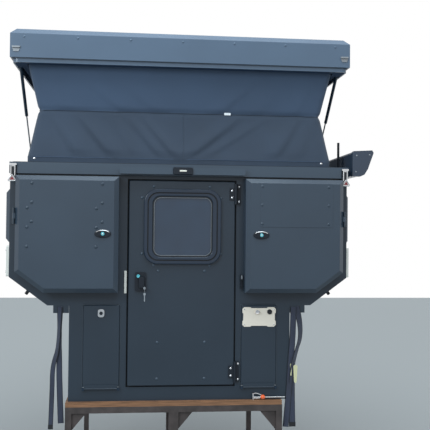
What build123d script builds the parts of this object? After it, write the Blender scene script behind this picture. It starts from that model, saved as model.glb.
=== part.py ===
from build123d import *
import math
import os

# A demountable pop-top truck camper on its display stand, with the roof up.
# Millimetres. +X is the camper's right seen from behind, +Y runs forward, +Z is up.
# The origin lies on the floor, under the rear centre foot of the stand, in the camper's centre plane.

os.makedirs("parts", exist_ok=True)

# Stand
deck_z = 700.0            # top of the wooden deck above the floor
deck_thick = 24.0
deck_x = (-606.0, 549.0)
stand_rear = -30.0        # the deck stands out this far behind the camper
tube = 33.0               # square tube of the stand
foot_size = 104.0
foot_thick = 8.0
gusset_thick = 8.0
rear_legs = (             # from X, to X, side of the gusset, its reach, its drop
    (-606.0, -573.0, 1, 76.0, 92.0),
    (-61.0, -10.0, 1, 78.0, 92.0),
    (518.0, 551.0, -1, 88.0, 104.0),
)
front_legs = (
    (-606.0, -573.0, 1, 50.0, 50.0),
    (-12.0, 21.0, 1, 50.0, 50.0),
    (583.0, 616.0, -1, 50.0, 50.0),
)

# Shell of the camper, heights above the deck
wall = 30.0
half_width = 910.0        # side walls, outer
half_lower = 594.0        # box that stands in the truck's bed, outer
knee_inset = 202.0        # where the wing's underside turns up, in from the side wall
wing_under = 508.0
wing_edge = 658.0         # where the slope meets the side wall
lower_length = 1560.0
stand_short = 40.0        # the stand ends this far behind the lower body's front
body_length = 2900.0
cabover_under = 1070.0
nose_start = 2560.0
nose_under = 1150.0
rail_z = (1204.0, 1264.0)
rail_proud = 30.0         # the top rail stands out behind and in front
rail_width = 90.0
gutter_half = 336.0
gutter_z = (1209.0, 1246.0)
gutter_proud = 30.0
face_gap = 0.3            # running or seating gap between separate pieces
swing_gap = 8.0           # gap all round the entrance door
panel_gap = 5.0           # gap all round lids and hatches

# Roof
roof_side_over = 8.0      # beyond each side wall
roof_over = 22.0          # beyond the body, behind and in front
roof_z = (1818.0, 1975.0)
roof_bevel = 30.0
roof_wall = 20.0
roof_skin = 30.0
lip_inset = 12.0
lip_low = 1794.0
lip_wall = 8.0
lip_corner = 28.0
roof_drop = 525.0         # travel from raised to closed
track_thick = 3.0         # flange inside the lip that carries the canvas
track_slot_y = 125.0      # the struts' slots in it start this far from the body's ends
track_slot_in = 40.0      # and reach in this far from the side walls

# Canvas
canvas_inset = 72.0       # in from the side walls
canvas_rear = 40.0
canvas_pinch = 58.0       # how far the fold line is drawn in
canvas_band = 36.0        # upright band along the rail
canvas_fold_z = 1560.0
canvas_thick = 6.0

# Gas struts, one near each corner
strut_inset = 25.0        # in from the side walls
strut_pivot = (114.0, 1830.0)     # upper pivot: distance from the body's end, height above the deck
strut_foot = (678.0, 1285.0)      # lower pivot, likewise
strut_tube_r = 9.0
strut_rod_r = 4.0
strut_tube_length = 376.0
strut_eye_r = 8.5
strut_eye_width = 10.0
strut_pin_r = 4.0
foot_reach = 16.0         # base of a lower bracket, under the rod's eye
pin_clearance = 0.05

# Rear corner lockers
lid_inner = 337.0
lid_edge_inset = 40.0     # outer edge, in from the side wall
lid_z = (581.0, 1191.0)
lid_corner_z = 690.0      # upper end of the cut corner on the outer edge
lid_depth = 100.0
lid_bevel = 24.0
lid_skin = 14.0
locker_inset = 28.0       # opening inside the lid's outline
locker_depth = 400.0
locker_skin = 8.0
lid_hinge_out = 7.0       # hinge axis, out from the lid's outer edge
lid_hinge_y = -80.0
lid_hinge_z = (937.0, 1021.0)
knuckle_gap = 0.5
knuckle_r = 6.0
knuckle = (965.0, 993.0)  # the lid's own knuckle
lid_latch = (418.0, 890.0)
latch_oval = (43.0, 21.5)
latch_boss_r = 11.0

# Entrance door
door_x = (-284.0, 287.0)
door_z = (81.0, 1177.0)
door_proud = 12.0
door_thick = 40.0
window_centre = (3.0, 931.5)
window_frame = (414.0, 403.0, 75.0)
window_pane = (322.0, 325.0, 43.0)
hinge_axis = (291.0, -19.0)
hinge_r = 7.0
hinge_pin_r = 3.0
leaf_thick = 5.0
leaf_reach = 34.0
wall_leaf = 27.0
hinge_table = (           # wall leaf low, wall leaf high, door leaf low, door leaf high
    (96.0, 207.0, 119.0, 184.0),
    (1055.0, 1165.0, 1078.0, 1142.0),
)
lock_x = (-249.0, -189.0)
lock_z = (585.0, 687.0)
lock_thick = 9.0
lock_paddle = (5.0, -2.0)       # the pull's centre, from the plate's
lock_paddle_size = (32.0, 62.0)
lock_rounds = (       # key cylinders: across and up from the plate's centre, radius, how far proud
    (-12.0, 30.0, 10.0, 9.0),
    (22.0, -34.0, 9.0, 18.0),
)
strike_size = (12.0, 120.0)
strike_z = 633.0
catch_x = (318.0, 332.0)
catch_z = (599.0, 674.0)

# Lower hatches beside the door
hatch_x = (327.0, 519.0)
hatch_z = (74.0, 510.0)
hatch_proud = 8.0
hatch_thick = 24.0
hatch_hinge = (-14.0, 68.0)
hatch_hinge_r = 4.0

# Side hatches over the rear lockers
pod_y = (66.0, 426.0)
pod_z = (832.0, 1134.0)
pod_proud = 33.0
pod_bevel = 28.0
pod_inset = 34.0
pod_hinge_out = 9.0
pod_hinge_r = 5.0

# Side windows
side_window_y = (640.0, 1320.0)
side_window_z = (790.0, 1110.0)
side_window_r = 70.0
side_frame_width = 36.0

# Awning on the right-hand wall
awning_stand_off = 32.0   # its back, out from the side wall
awning_profile = (        # out from the back, height above the deck
    (0.0, 1220.0),
    (46.0, 1220.0),
    (68.0, 1230.0),
    (88.0, 1262.0),
    (120.0, 1352.0),
    (112.0, 1366.0),
    (7.0, 1360.0),
    (0.0, 1348.0),
)
awning_length = 2000.0
awning_cap = 34.0

# Fittings
jack_z = (660.0, 822.0)
jack_size = (84.0, 18.0)  # along Y, out from the wall
jack_pitch = (50.0, 60.0)
jack_hole_r = 5.5
tie_out = 42.0            # beyond the lower body's side
tie_short = 60.0          # front pair, behind the lower body's front
tie_hole_r = 8.0
tie_width = 82.0
tie_drop = 40.0
tie_thick = 5.0
sling_thick = 3.0
sling_routes = (          # name, side, width, Y of its front face, route: out from the tie-down, down from the wing
    ("sling_left_inner", -1, 30.0, -0.3, ((5.0, 6.0), (4.0, 208.0), (-3.0, 388.0), (-7.0, 620.0))),
    ("sling_left_outer", -1, 24.0, -3.6, ((7.0, 8.0), (10.0, 228.0), (24.0, 438.0), (42.0, 650.0))),
    ("sling_right_outer", 1, 34.0, -0.3, ((-8.0, 6.0), (-14.0, 208.0), (-19.0, 388.0), (-25.0, 658.0))),
    ("sling_right_inner", 1, 32.0, -3.6, ((-24.0, 8.0), (-27.0, 208.0), (-32.0, 408.0), (-61.0, 658.0))),
)
toggle_base = (36.0, 52.0)
toggle_body = (12.0, 44.0)
toggle_thick = 4.0
toggle_handle_z = (1162.0, 1206.0)
toggle_grip = 32.0        # width of the handle's free end
toggle_inset = 21.0       # in from the side wall
keeper_z = (1848.0, 1876.0)
keeper_wide = 46.0
keeper_narrow = 28.0
clamp_x = (394.0, 568.0)  # hold-down screw on the deck's ledge
clamp_y = -14.0
clamp_rod_r = 4.0
clamp_ball_x = 447.0
clamp_ball_r = 13.0
clamp_hook = 36.0
plate_centre = (424.0, 446.0)
plate_size = (183.0, 106.0)
plate_notch = 5.0         # depth of the recess between the corner pads
plate_pads = (44.0, 30.0) # size of the corner pads along each edge
plate_lock = (413.0, 474.0, 13.0)
plate_socket = (481.0, 474.0, 11.0)
ring_latch = (34.0, 42.0, 8.0)
ring_latch_z = 468.0

# Sizes that follow from the ones above
stand_y = (stand_rear, lower_length - stand_short)
half_knee = half_width - knee_inset
roof_half = half_width + roof_side_over
canvas_half = half_width - canvas_inset
strut_x = half_width - strut_inset
toggle_x = half_width - toggle_inset
lid_x = (lid_inner, half_width - lid_edge_inset)
lid_hinge = (lid_x[1] + lid_hinge_out, lid_hinge_y)
awning_back = half_width + awning_stand_off
tie_x = half_lower + tie_out
tie_y = (0.0, lower_length - tie_short)

# Derived heights above the floor
z_under = deck_z + wing_under
z_edge = deck_z + wing_edge
z_rail = (deck_z + rail_z[0], deck_z + rail_z[1])
z_cab = deck_z + cabover_under
z_roof = (deck_z + roof_z[0], deck_z + roof_z[1])
z_lip = deck_z + lip_low
slope = math.atan2(wing_edge - wing_under, half_width - half_knee)


def block(x, y, z, mode=Mode.ADD):
    """A box between two limits on each axis."""
    centre = ((x[0] + x[1]) / 2, (y[0] + y[1]) / 2, (z[0] + z[1]) / 2)
    with Locations(centre):
        Box(x[1] - x[0], y[1] - y[0], z[1] - z[0], mode=mode)


def mirrored(pair):
    """The same limits on the left-hand side."""
    return (-pair[1], -pair[0])


def side_pair(pair, side):
    """Limits on the right (+1) or the left (-1)."""
    return pair if side > 0 else mirrored(pair)


def rear_plane(y):
    """Upright plane facing backwards at a given Y, local axes X and Z."""
    return Plane.XZ.offset(-y)


def above_deck(points):
    """Raise outline points from the deck to the floor's frame."""
    return [(x, z + deck_z) for x, z in points]


def shift_in(distance):
    """Height and width steps of the wing's inner corner at a given wall thickness."""
    return distance * math.tan(slope / 2)


# Display stand: six legs with feet and top gussets
leg_rows = ((stand_y[0] + tube / 2, rear_legs), (stand_y[1] - tube / 2, front_legs))
beam_z = (deck_z - deck_thick - tube, deck_z - deck_thick)

with BuildPart() as stand_legs:
    for y, legs in leg_rows:
        for low_x, high_x, side, reach, drop in legs:
            block((low_x, high_x), (y - tube / 2, y + tube / 2), (foot_thick, beam_z[0]))
            with BuildSketch(Plane.XY):
                with Locations(((low_x + high_x) / 2, y)):
                    RectangleRounded(foot_size, foot_size, 12)
            extrude(amount=foot_thick)
            edge = high_x if side > 0 else low_x
            with BuildSketch(rear_plane(y - gusset_thick / 2)):
                Polygon(
                    (edge, beam_z[0]), (edge + side * reach, beam_z[0]), (edge, beam_z[0] - drop), align=None
                )
            extrude(amount=-gusset_thick)
stand_legs.part.label = "stand_legs"
export_step(stand_legs.part, "parts/stand_legs.step")

with BuildPart() as stand_top_frame:
    for y, legs in leg_rows:
        block((legs[0][0], legs[-1][1]), (y - tube / 2, y + tube / 2), beam_z)
    for low_x, high_x, side, reach, drop in rear_legs:
        block((low_x, low_x + tube), stand_y, beam_z)
stand_top_frame.part.label = "stand_top_frame"
export_step(stand_top_frame.part, "parts/stand_top_frame.step")

with BuildPart() as stand_deck:
    block(deck_x, stand_y, (deck_z - deck_thick, deck_z))
stand_deck.part.label = "stand_deck"
export_step(stand_deck.part, "parts/stand_deck.step")

# Shell panels
corner_step = shift_in(wall)
wing_inner_top = z_under + wall
wing_joint = z_edge + corner_step     # side walls stand on the wing floors here

with BuildPart() as floor_panel:
    block((-half_lower, half_lower), (wall, lower_length - wall), (deck_z, deck_z + wall))
floor_panel.part.label = "floor_panel"
export_step(floor_panel.part, "parts/floor_panel.step")

with BuildPart() as lower_side_walls:
    for side in (-1, 1):
        x = side_pair((half_lower - wall, half_lower), side)
        block(x, (wall, lower_length - wall), (deck_z + wall, z_under))
lower_side_walls.part.label = "lower_side_walls"
export_step(lower_side_walls.part, "parts/lower_side_walls.step")


def wing_run(height):
    """X of the inner slope line at a height above the floor."""
    return half_knee + (height - z_under) / math.tan(slope) - wall / math.sin(slope)


with BuildPart() as wing_floors:
    for side in (-1, 1):
        outline = (
            (half_lower - wall, z_under),
            (half_knee, z_under),
            (half_width, z_edge),
            (half_width, wing_joint),
            (wing_run(wing_joint), wing_joint),
            (wing_run(wing_inner_top), wing_inner_top),
            (half_lower - wall, wing_inner_top),
        )
        with BuildSketch(rear_plane(wall)):
            with BuildLine():
                Polyline(*[(side * x, z) for x, z in outline], close=True)
            make_face()
        extrude(amount=-(lower_length - 2 * wall))
wing_floors.part.label = "wing_floors"
export_step(wing_floors.part, "parts/wing_floors.step")


def tee_outline(top):
    """Outline of the rear and front walls, up to a height above the floor."""
    half = (
        (half_lower, deck_z),
        (half_lower, z_under),
        (half_knee, z_under),
        (half_width, z_edge),
        (half_width, top),
    )
    return list(half) + [(-x, z) for x, z in reversed(half)]


def lid_outline(inset):
    """Five corners of the right-hand locker lid, each side moved inwards by the inset."""
    drop = inset * (1 / math.cos(slope) - math.tan(slope))
    run = inset * (1 / math.sin(slope) - 1 / math.tan(slope))
    cut_x = lid_x[1] - (lid_corner_z - lid_z[0]) / math.tan(slope)
    return above_deck((
        (lid_x[0] + inset, lid_z[0] + inset),
        (cut_x - run, lid_z[0] + inset),
        (lid_x[1] - inset, lid_corner_z + drop),
        (lid_x[1] - inset, lid_z[1] - inset),
        (lid_x[0] + inset, lid_z[1] - inset),
    ))


def lid_face(inset, side):
    """The lid's outline as a face in the current sketch."""
    Polygon(*[(side * x, z) for x, z in lid_outline(inset)], align=None)


with BuildPart() as rear_wall:
    with BuildSketch(rear_plane(0)):
        with BuildLine():
            Polyline(*tee_outline(z_rail[0]), close=True)
        make_face()
    extrude(amount=-wall)
    block(
        (door_x[0] - swing_gap, door_x[1] + swing_gap),
        (-1, wall + 1),
        (deck_z + door_z[0] - swing_gap, deck_z + door_z[1] + swing_gap),
        mode=Mode.SUBTRACT,
    )
    for side in (-1, 1):
        with BuildSketch(rear_plane(0)):
            lid_face(locker_inset, side)
        extrude(amount=-wall, mode=Mode.SUBTRACT)
        block(
            side_pair((hatch_x[0] - panel_gap, hatch_x[1] + panel_gap), side),
            (-1, wall + 1),
            (deck_z + hatch_z[0] - panel_gap, deck_z + hatch_z[1] + panel_gap + 1),
            mode=Mode.SUBTRACT,
        )
rear_wall.part.label = "rear_wall"
export_step(rear_wall.part, "parts/rear_wall.step")

with BuildPart() as front_wall:
    with BuildSketch(rear_plane(lower_length - wall)):
        with BuildLine():
            Polyline(*tee_outline(z_cab), close=True)
        make_face()
    extrude(amount=-wall)
front_wall.part.label = "front_wall"
export_step(front_wall.part, "parts/front_wall.step")

# Cab-over floor with its raised nose, one bent panel
nose_slope = math.atan2(nose_under - cabover_under, body_length - nose_start)
nose_inner_start = nose_start - wall * math.tan(nose_slope / 2)
nose_inner_end = z_cab + wall + (body_length - wall - nose_inner_start) * math.tan(nose_slope)
with BuildPart() as cabover_floor:
    with BuildSketch(Plane.YZ.offset(-half_width)):
        with BuildLine():
            Polyline(
                (lower_length - wall, z_cab),
                (nose_start, z_cab),
                (body_length, deck_z + nose_under),
                (body_length, nose_inner_end),
                (body_length - wall, nose_inner_end),
                (nose_inner_start, z_cab + wall),
                (lower_length - wall, z_cab + wall),
                close=True,
            )
        make_face()
    extrude(amount=2 * half_width)
cabover_floor.part.label = "cabover_floor"
export_step(cabover_floor.part, "parts/cabover_floor.step")

with BuildPart() as cabover_front:
    block((-half_width, half_width), (body_length - wall, body_length), (nose_inner_end, z_rail[0]))
cabover_front.part.label = "cabover_front"
export_step(cabover_front.part, "parts/cabover_front.step")


def side_wall_outline():
    """Side wall seen from the side, between the end walls and on the floors."""
    return (
        (wall, wing_joint),
        (lower_length - wall, wing_joint),
        (lower_length - wall, z_cab + wall),
        (nose_inner_start, z_cab + wall),
        (body_length - wall, nose_inner_end),
        (body_length - wall, z_rail[0]),
        (wall, z_rail[0]),
    )


def opening_on_side(y, z, radius):
    """A rounded opening in the current side sketch."""
    with Locations(((y[0] + y[1]) / 2, deck_z + (z[0] + z[1]) / 2)):
        RectangleRounded(y[1] - y[0], z[1] - z[0], radius, mode=Mode.SUBTRACT)


pod_open_y = (pod_y[0] + pod_inset, pod_y[1] - pod_inset)
pod_open_z = (pod_z[0] + pod_inset, pod_z[1] - pod_inset)
for name, side in (("side_wall_left", -1), ("side_wall_right", 1)):
    inner = half_width - wall if side > 0 else -half_width
    with BuildPart() as side_wall:
        with BuildSketch(Plane.YZ.offset(inner)):
            with BuildLine():
                Polyline(*side_wall_outline(), close=True)
            make_face()
            opening_on_side(side_window_y, side_window_z, side_window_r)
            opening_on_side(pod_open_y, pod_open_z, 20)
        extrude(amount=wall)
    side_wall.part.label = name
    export_step(side_wall.part, f"parts/{name}.step")

# Top rail: a ring beam round the body, with the drip gutter over the door
rail_outer_y = (-rail_proud, body_length + rail_proud)
with BuildPart() as top_rail:
    block((-half_width, half_width), rail_outer_y, z_rail)
    block(
        (-half_width + rail_width, half_width - rail_width),
        (rail_outer_y[0] + rail_width, rail_outer_y[1] - rail_width),
        z_rail,
        mode=Mode.SUBTRACT,
    )
    with BuildSketch(rear_plane(-rail_proud)):
        with Locations((0, deck_z + (gutter_z[0] + gutter_z[1]) / 2)):
            RectangleRounded(2 * gutter_half, gutter_z[1] - gutter_z[0], 8)
    extrude(amount=gutter_proud)
top_rail.part.label = "top_rail"
export_step(top_rail.part, "parts/top_rail.step")

with BuildPart() as entry_lamp:
    with BuildSketch(rear_plane(-rail_proud - gutter_proud)):
        with Locations((0, deck_z + (gutter_z[0] + gutter_z[1]) / 2)):
            RectangleRounded(108, 40, 10)
    extrude(amount=12, taper=12)
entry_lamp.part.label = "entry_lamp"
export_step(entry_lamp.part, "parts/entry_lamp.step")

# Rear corner lockers: boxes behind the rear wall, open to the lid and to the side hatch
box_outer = half_width - wall


def box_outline(inset, outer):
    """The locker opening's outline, carried out to the side wall along its sloping floor."""
    corners = lid_outline(inset)
    rise = (outer - corners[2][0]) * math.tan(slope)
    return (corners[0], corners[1], (outer, corners[2][1] + rise), (outer, corners[3][1]), corners[4])


with BuildPart() as locker_boxes:
    for side in (-1, 1):
        outer_line = box_outline(locker_inset - locker_skin, box_outer)
        inner_line = box_outline(locker_inset, box_outer - locker_skin)
        with BuildSketch(rear_plane(wall)):
            Polygon(*[(side * x, z) for x, z in outer_line], align=None)
        extrude(amount=-locker_depth)
        with BuildSketch(rear_plane(wall)):
            Polygon(*[(side * x, z) for x, z in inner_line], align=None)
        extrude(amount=-(locker_depth - locker_skin), mode=Mode.SUBTRACT)
        block(
            side_pair((box_outer - 2 * locker_skin, box_outer + 1), side),
            pod_open_y,
            (deck_z + pod_open_z[0], deck_z + pod_open_z[1]),
            mode=Mode.SUBTRACT,
        )
locker_boxes.part.label = "locker_boxes"
export_step(locker_boxes.part, "parts/locker_boxes.step")

# Locker lids: deep bevelled pans, each with its hinge knuckle on the outer side
seat_y = -1.0
for name, side in (("locker_lid_left", -1), ("locker_lid_right", 1)):
    with BuildPart() as lid:
        with BuildSketch(rear_plane(seat_y)):
            lid_face(0, side)
        extrude(amount=lid_depth + seat_y)
        front_edges = lid.faces().sort_by(Axis.Y)[0].edges()
        chamfer(front_edges, lid_bevel)
        with BuildSketch(rear_plane(seat_y)):
            lid_face(lid_skin, side)
        extrude(amount=lid_depth + seat_y - lid_bevel - 2, mode=Mode.SUBTRACT)
        block(
            side_pair((lid_x[1] - 2, lid_hinge[0]), side),
            (lid_hinge[1] - 3, lid_hinge[1] + 5),
            (deck_z + knuckle[0] + knuckle_gap, deck_z + knuckle[1] - knuckle_gap),
        )
        with BuildSketch(Plane.XY.offset(deck_z + knuckle[0] + knuckle_gap)):
            with Locations((side * lid_hinge[0], lid_hinge[1])):
                Circle(knuckle_r)
        extrude(amount=knuckle[1] - knuckle[0] - 2 * knuckle_gap)
        with BuildSketch(Plane.XY.offset(deck_z + knuckle[0])):
            with Locations((side * lid_hinge[0], lid_hinge[1])):
                Circle(hinge_pin_r + pin_clearance)
        extrude(amount=knuckle[1] - knuckle[0], mode=Mode.SUBTRACT)
    lid.part.label = name
    export_step(lid.part, f"parts/{name}.step")

with BuildPart() as lid_hinges:
    for side in (-1, 1):
        for low, high in ((lid_hinge_z[0], knuckle[0]), (knuckle[1], lid_hinge_z[1])):
            with BuildSketch(Plane.XY.offset(deck_z + low)):
                with Locations((side * lid_hinge[0], lid_hinge[1])):
                    Circle(knuckle_r)
            extrude(amount=high - low)
            block(
                side_pair((lid_hinge[0] + 1, lid_hinge[0] + knuckle_r), side),
                (lid_hinge[1], -face_gap),
                (deck_z + low, deck_z + high),
            )
        block(
            side_pair((lid_hinge[0] + 1, half_width - 3), side),
            (-4, -face_gap),
            (deck_z + lid_hinge_z[0], deck_z + lid_hinge_z[1]),
        )
        with BuildSketch(Plane.XY.offset(deck_z + lid_hinge_z[0])):
            with Locations((side * lid_hinge[0], lid_hinge[1])):
                Circle(hinge_pin_r)
        extrude(amount=lid_hinge_z[1] - lid_hinge_z[0])
lid_hinges.part.label = "lid_hinges"
export_step(lid_hinges.part, "parts/lid_hinges.step")

# Oval paddle latches on the lids
for name, side in (("locker_latch_left", -1), ("locker_latch_right", 1)):
    with BuildPart() as latch:
        with BuildSketch(rear_plane(-lid_depth - face_gap)):
            with Locations((side * lid_latch[0], deck_z + lid_latch[1])):
                Ellipse(*latch_oval)
        extrude(amount=7)
        fillet(latch.faces().sort_by(Axis.Y)[0].edges(), 3)
        with BuildSketch(rear_plane(-lid_depth - 7)):
            with Locations((side * lid_latch[0] - 14, deck_z + lid_latch[1])):
                Circle(latch_boss_r)
        extrude(amount=5)
    latch.part.label = name
    export_step(latch.part, f"parts/{name}.step")

# Lower hatches, hinged along their bottom edge
for name, side in (("hatch_left", -1), ("hatch_right", 1)):
    with BuildPart() as hatch:
        with BuildSketch(rear_plane(-hatch_proud)):
            with Locations((side * sum(hatch_x) / 2, deck_z + sum(hatch_z) / 2)):
                RectangleRounded(hatch_x[1] - hatch_x[0], hatch_z[1] - hatch_z[0], 6)
        extrude(amount=-hatch_thick)
        chamfer(hatch.faces().sort_by(Axis.Y)[0].edges(), 3)
        reach = side_pair((hatch_x[0] + 10, hatch_x[1] - 10), side)
        block(reach, (hatch_hinge[0], -hatch_proud + 1), (deck_z + hatch_hinge[1] + 2, deck_z + hatch_z[0] + 14))
        with BuildSketch(Plane.YZ.offset(reach[0])):
            with Locations((hatch_hinge[0], deck_z + hatch_hinge[1])):
                Circle(hatch_hinge_r)
        extrude(amount=reach[1] - reach[0])
    hatch.part.label = name
    export_step(hatch.part, f"parts/{name}.step")

with BuildPart() as hatch_hinge_blocks:
    for side in (-1, 1):
        for x in ((hatch_x[0] - 2, hatch_x[0] + 9.5), (hatch_x[1] - 9.5, hatch_x[1] + 2)):
            block(
                side_pair(x, side),
                (hatch_hinge[0] - 5, 0),
                (deck_z + hatch_hinge[1] - 9, deck_z + hatch_hinge[1] + 4.5),
            )
hatch_hinge_blocks.part.label = "hatch_hinge_blocks"
export_step(hatch_hinge_blocks.part, "parts/hatch_hinge_blocks.step")

with BuildPart() as hatch_ring_latch:
    latch_x = -sum(hatch_x) / 2 - 2
    with BuildSketch(rear_plane(-hatch_proud - face_gap)):
        with Locations((latch_x, deck_z + ring_latch_z)):
            RectangleRounded(ring_latch[0], ring_latch[1], 12)
            Circle(ring_latch[2], mode=Mode.SUBTRACT)
    extrude(amount=8)
hatch_ring_latch.part.label = "hatch_ring_latch"
export_step(hatch_ring_latch.part, "parts/hatch_ring_latch.step")



def padded_outline():
    """Outline of the utility plate: straight recesses between pads at its four corners."""
    across, up = plate_size[0] / 2, plate_size[1] / 2
    inner_x, inner_z = across - plate_pads[0], up - plate_pads[1]
    quarter = (
        (across - plate_notch, inner_z - plate_notch),
        (across, inner_z),
        (across, up - 10),
        (across - 10, up),
        (inner_x, up),
        (inner_x - plate_notch, up - plate_notch),
    )
    half = quarter + tuple((-x, z) for x, z in reversed(quarter))
    return half + tuple((x, -z) for x, z in reversed(half))


with BuildPart() as hatch_plate:
    with BuildSketch(rear_plane(-hatch_proud - face_gap)):
        with Locations((plate_centre[0], deck_z + plate_centre[1])):
            Polygon(*padded_outline(), align=None)
    extrude(amount=4)
    chamfer(hatch_plate.faces().sort_by(Axis.Y)[0].edges(), 0.8)
    with BuildSketch(rear_plane(-hatch_proud - 4)):
        with Locations((plate_lock[0], deck_z + plate_lock[1])):
            Circle(plate_lock[2])
    extrude(amount=9, taper=8)
    with BuildSketch(rear_plane(-hatch_proud - 4)):
        with Locations((plate_socket[0], deck_z + plate_socket[1])):
            Circle(plate_socket[2])
    extrude(amount=3)
hatch_plate.part.label = "hatch_plate"
export_step(hatch_plate.part, "parts/hatch_plate.step")

# Entrance door with its window
with BuildPart() as door_panel:
    with BuildSketch(rear_plane(-door_proud)):
        with Locations((sum(door_x) / 2, deck_z + sum(door_z) / 2)):
            RectangleRounded(door_x[1] - door_x[0], door_z[1] - door_z[0], 8)
        with Locations((window_centre[0], deck_z + window_centre[1])):
            RectangleRounded(window_frame[0] - 50, window_frame[1] - 50, window_frame[2] - 20, mode=Mode.SUBTRACT)
    extrude(amount=-door_thick)
    chamfer(door_panel.faces().sort_by(Axis.Y)[0].outer_wire().edges(), 3)
door_panel.part.label = "door_panel"
export_step(door_panel.part, "parts/door_panel.step")


def rounded_window(width, height, radius, centre, mode=Mode.ADD):
    """Rounded rectangle of a window in the current sketch."""
    with Locations((centre[0], deck_z + centre[1])):
        RectangleRounded(width, height, radius, mode=mode)


rebate = 11.0
frame_proud = 18.0
with BuildPart() as door_window_frame:
    base = -door_proud - face_gap
    with BuildSketch(rear_plane(base)):
        rounded_window(*window_frame, window_centre)
        rounded_window(*window_pane, window_centre, mode=Mode.SUBTRACT)
    extrude(amount=frame_proud)
    fillet(door_window_frame.faces().sort_by(Axis.Y)[0].edges(), 5)
    with BuildSketch(rear_plane(base - frame_proud)):
        rounded_window(window_frame[0] - 36, window_frame[1] - 36, window_frame[2] - 16, window_centre)
        rounded_window(
            window_frame[0] - 50, window_frame[1] - 50, window_frame[2] - 23, window_centre, mode=Mode.SUBTRACT
        )
    extrude(amount=-5, mode=Mode.SUBTRACT)
    with BuildSketch(rear_plane(base)):
        rounded_window(
            window_pane[0] + 2 * rebate, window_pane[1] + 2 * rebate, window_pane[2] + rebate, window_centre
        )
    extrude(amount=8, mode=Mode.SUBTRACT)
door_window_frame.part.label = "door_window_frame"
export_step(door_window_frame.part, "parts/door_window_frame.step")

with BuildPart() as door_window_pane:
    with BuildSketch(rear_plane(base - 2)):
        rounded_window(
            window_pane[0] + 2 * rebate - 1,
            window_pane[1] + 2 * rebate - 1,
            window_pane[2] + rebate - 0.5,
            window_centre,
        )
    extrude(amount=6 - face_gap)
door_window_pane.part.label = "door_window_pane"
export_step(door_window_pane.part, "parts/door_window_pane.step")

with BuildPart() as door_lock:
    lock_mid = Vector(sum(lock_x) / 2, deck_z + sum(lock_z) / 2)
    with BuildSketch(rear_plane(-door_proud - face_gap)):
        with Locations(lock_mid):
            RectangleRounded(lock_x[1] - lock_x[0], lock_z[1] - lock_z[0], 10)
    extrude(amount=lock_thick)
    with BuildSketch(rear_plane(-door_proud - lock_thick)):
        with Locations(lock_mid + Vector(*lock_paddle)):
            RectangleRounded(*lock_paddle_size, 8)
    extrude(amount=16, taper=8)
    for across, up, radius, proud in lock_rounds:
        with BuildSketch(rear_plane(-door_proud - lock_thick)):
            with Locations(lock_mid + Vector(across, up)):
                Circle(radius)
        extrude(amount=proud)
door_lock.part.label = "door_lock"
export_step(door_lock.part, "parts/door_lock.step")

with BuildPart() as door_hinge_leaves:
    for wall_low, wall_high, low, high in hinge_table:
        block(
            (hinge_axis[0] - leaf_reach, hinge_axis[0]),
            (-door_proud - face_gap - leaf_thick, -door_proud - face_gap),
            (deck_z + low, deck_z + high),
        )
        with BuildSketch(Plane.XY.offset(deck_z + low)):
            with Locations(hinge_axis):
                Circle(hinge_r)
        extrude(amount=high - low)
        with BuildSketch(Plane.XY.offset(deck_z + low)):
            with Locations(hinge_axis):
                Circle(hinge_pin_r + pin_clearance)
        extrude(amount=high - low, mode=Mode.SUBTRACT)
door_hinge_leaves.part.label = "door_hinge_leaves"
export_step(door_hinge_leaves.part, "parts/door_hinge_leaves.step")

with BuildPart() as wall_hinge_leaves:
    for wall_low, wall_high, low, high in hinge_table:
        for start, end in ((wall_low, low - knuckle_gap), (high + knuckle_gap, wall_high)):
            with BuildSketch(Plane.XY.offset(deck_z + start)):
                with Locations(hinge_axis):
                    Circle(hinge_r)
            extrude(amount=end - start)
            block(
                (hinge_axis[0], hinge_axis[0] + hinge_r),
                (hinge_axis[1], -face_gap),
                (deck_z + start, deck_z + end),
            )
        block(
            (hinge_axis[0] + hinge_r, hinge_axis[0] + wall_leaf),
            (-leaf_thick - face_gap, -face_gap),
            (deck_z + wall_low, deck_z + wall_high),
        )
        with BuildSketch(Plane.XY.offset(deck_z + wall_low)):
            with Locations(hinge_axis):
                Circle(hinge_pin_r)
        extrude(amount=wall_high - wall_low)
wall_hinge_leaves.part.label = "wall_hinge_leaves"
export_step(wall_hinge_leaves.part, "parts/wall_hinge_leaves.step")

with BuildPart() as door_strike:
    strike_x = door_x[0] - swing_gap - 1
    strike_half = strike_size[1] / 2
    block(
        (strike_x - strike_size[0], strike_x),
        (-4, 0),
        (deck_z + strike_z - strike_half, deck_z + strike_z + strike_half),
    )
door_strike.part.label = "door_strike"
export_step(door_strike.part, "parts/door_strike.step")

with BuildPart() as door_catch:
    block(catch_x, (-14, 0), (deck_z + catch_z[0], deck_z + catch_z[1]))
    block(catch_x, (-26, -14), (deck_z + catch_z[1] - 28, deck_z + catch_z[1]))
    with BuildSketch(rear_plane(-14)):
        with Locations((sum(catch_x) / 2, deck_z + catch_z[0] + 16)):
            Circle(5)
    extrude(amount=8)
door_catch.part.label = "door_catch"
export_step(door_catch.part, "parts/door_catch.step")

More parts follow.
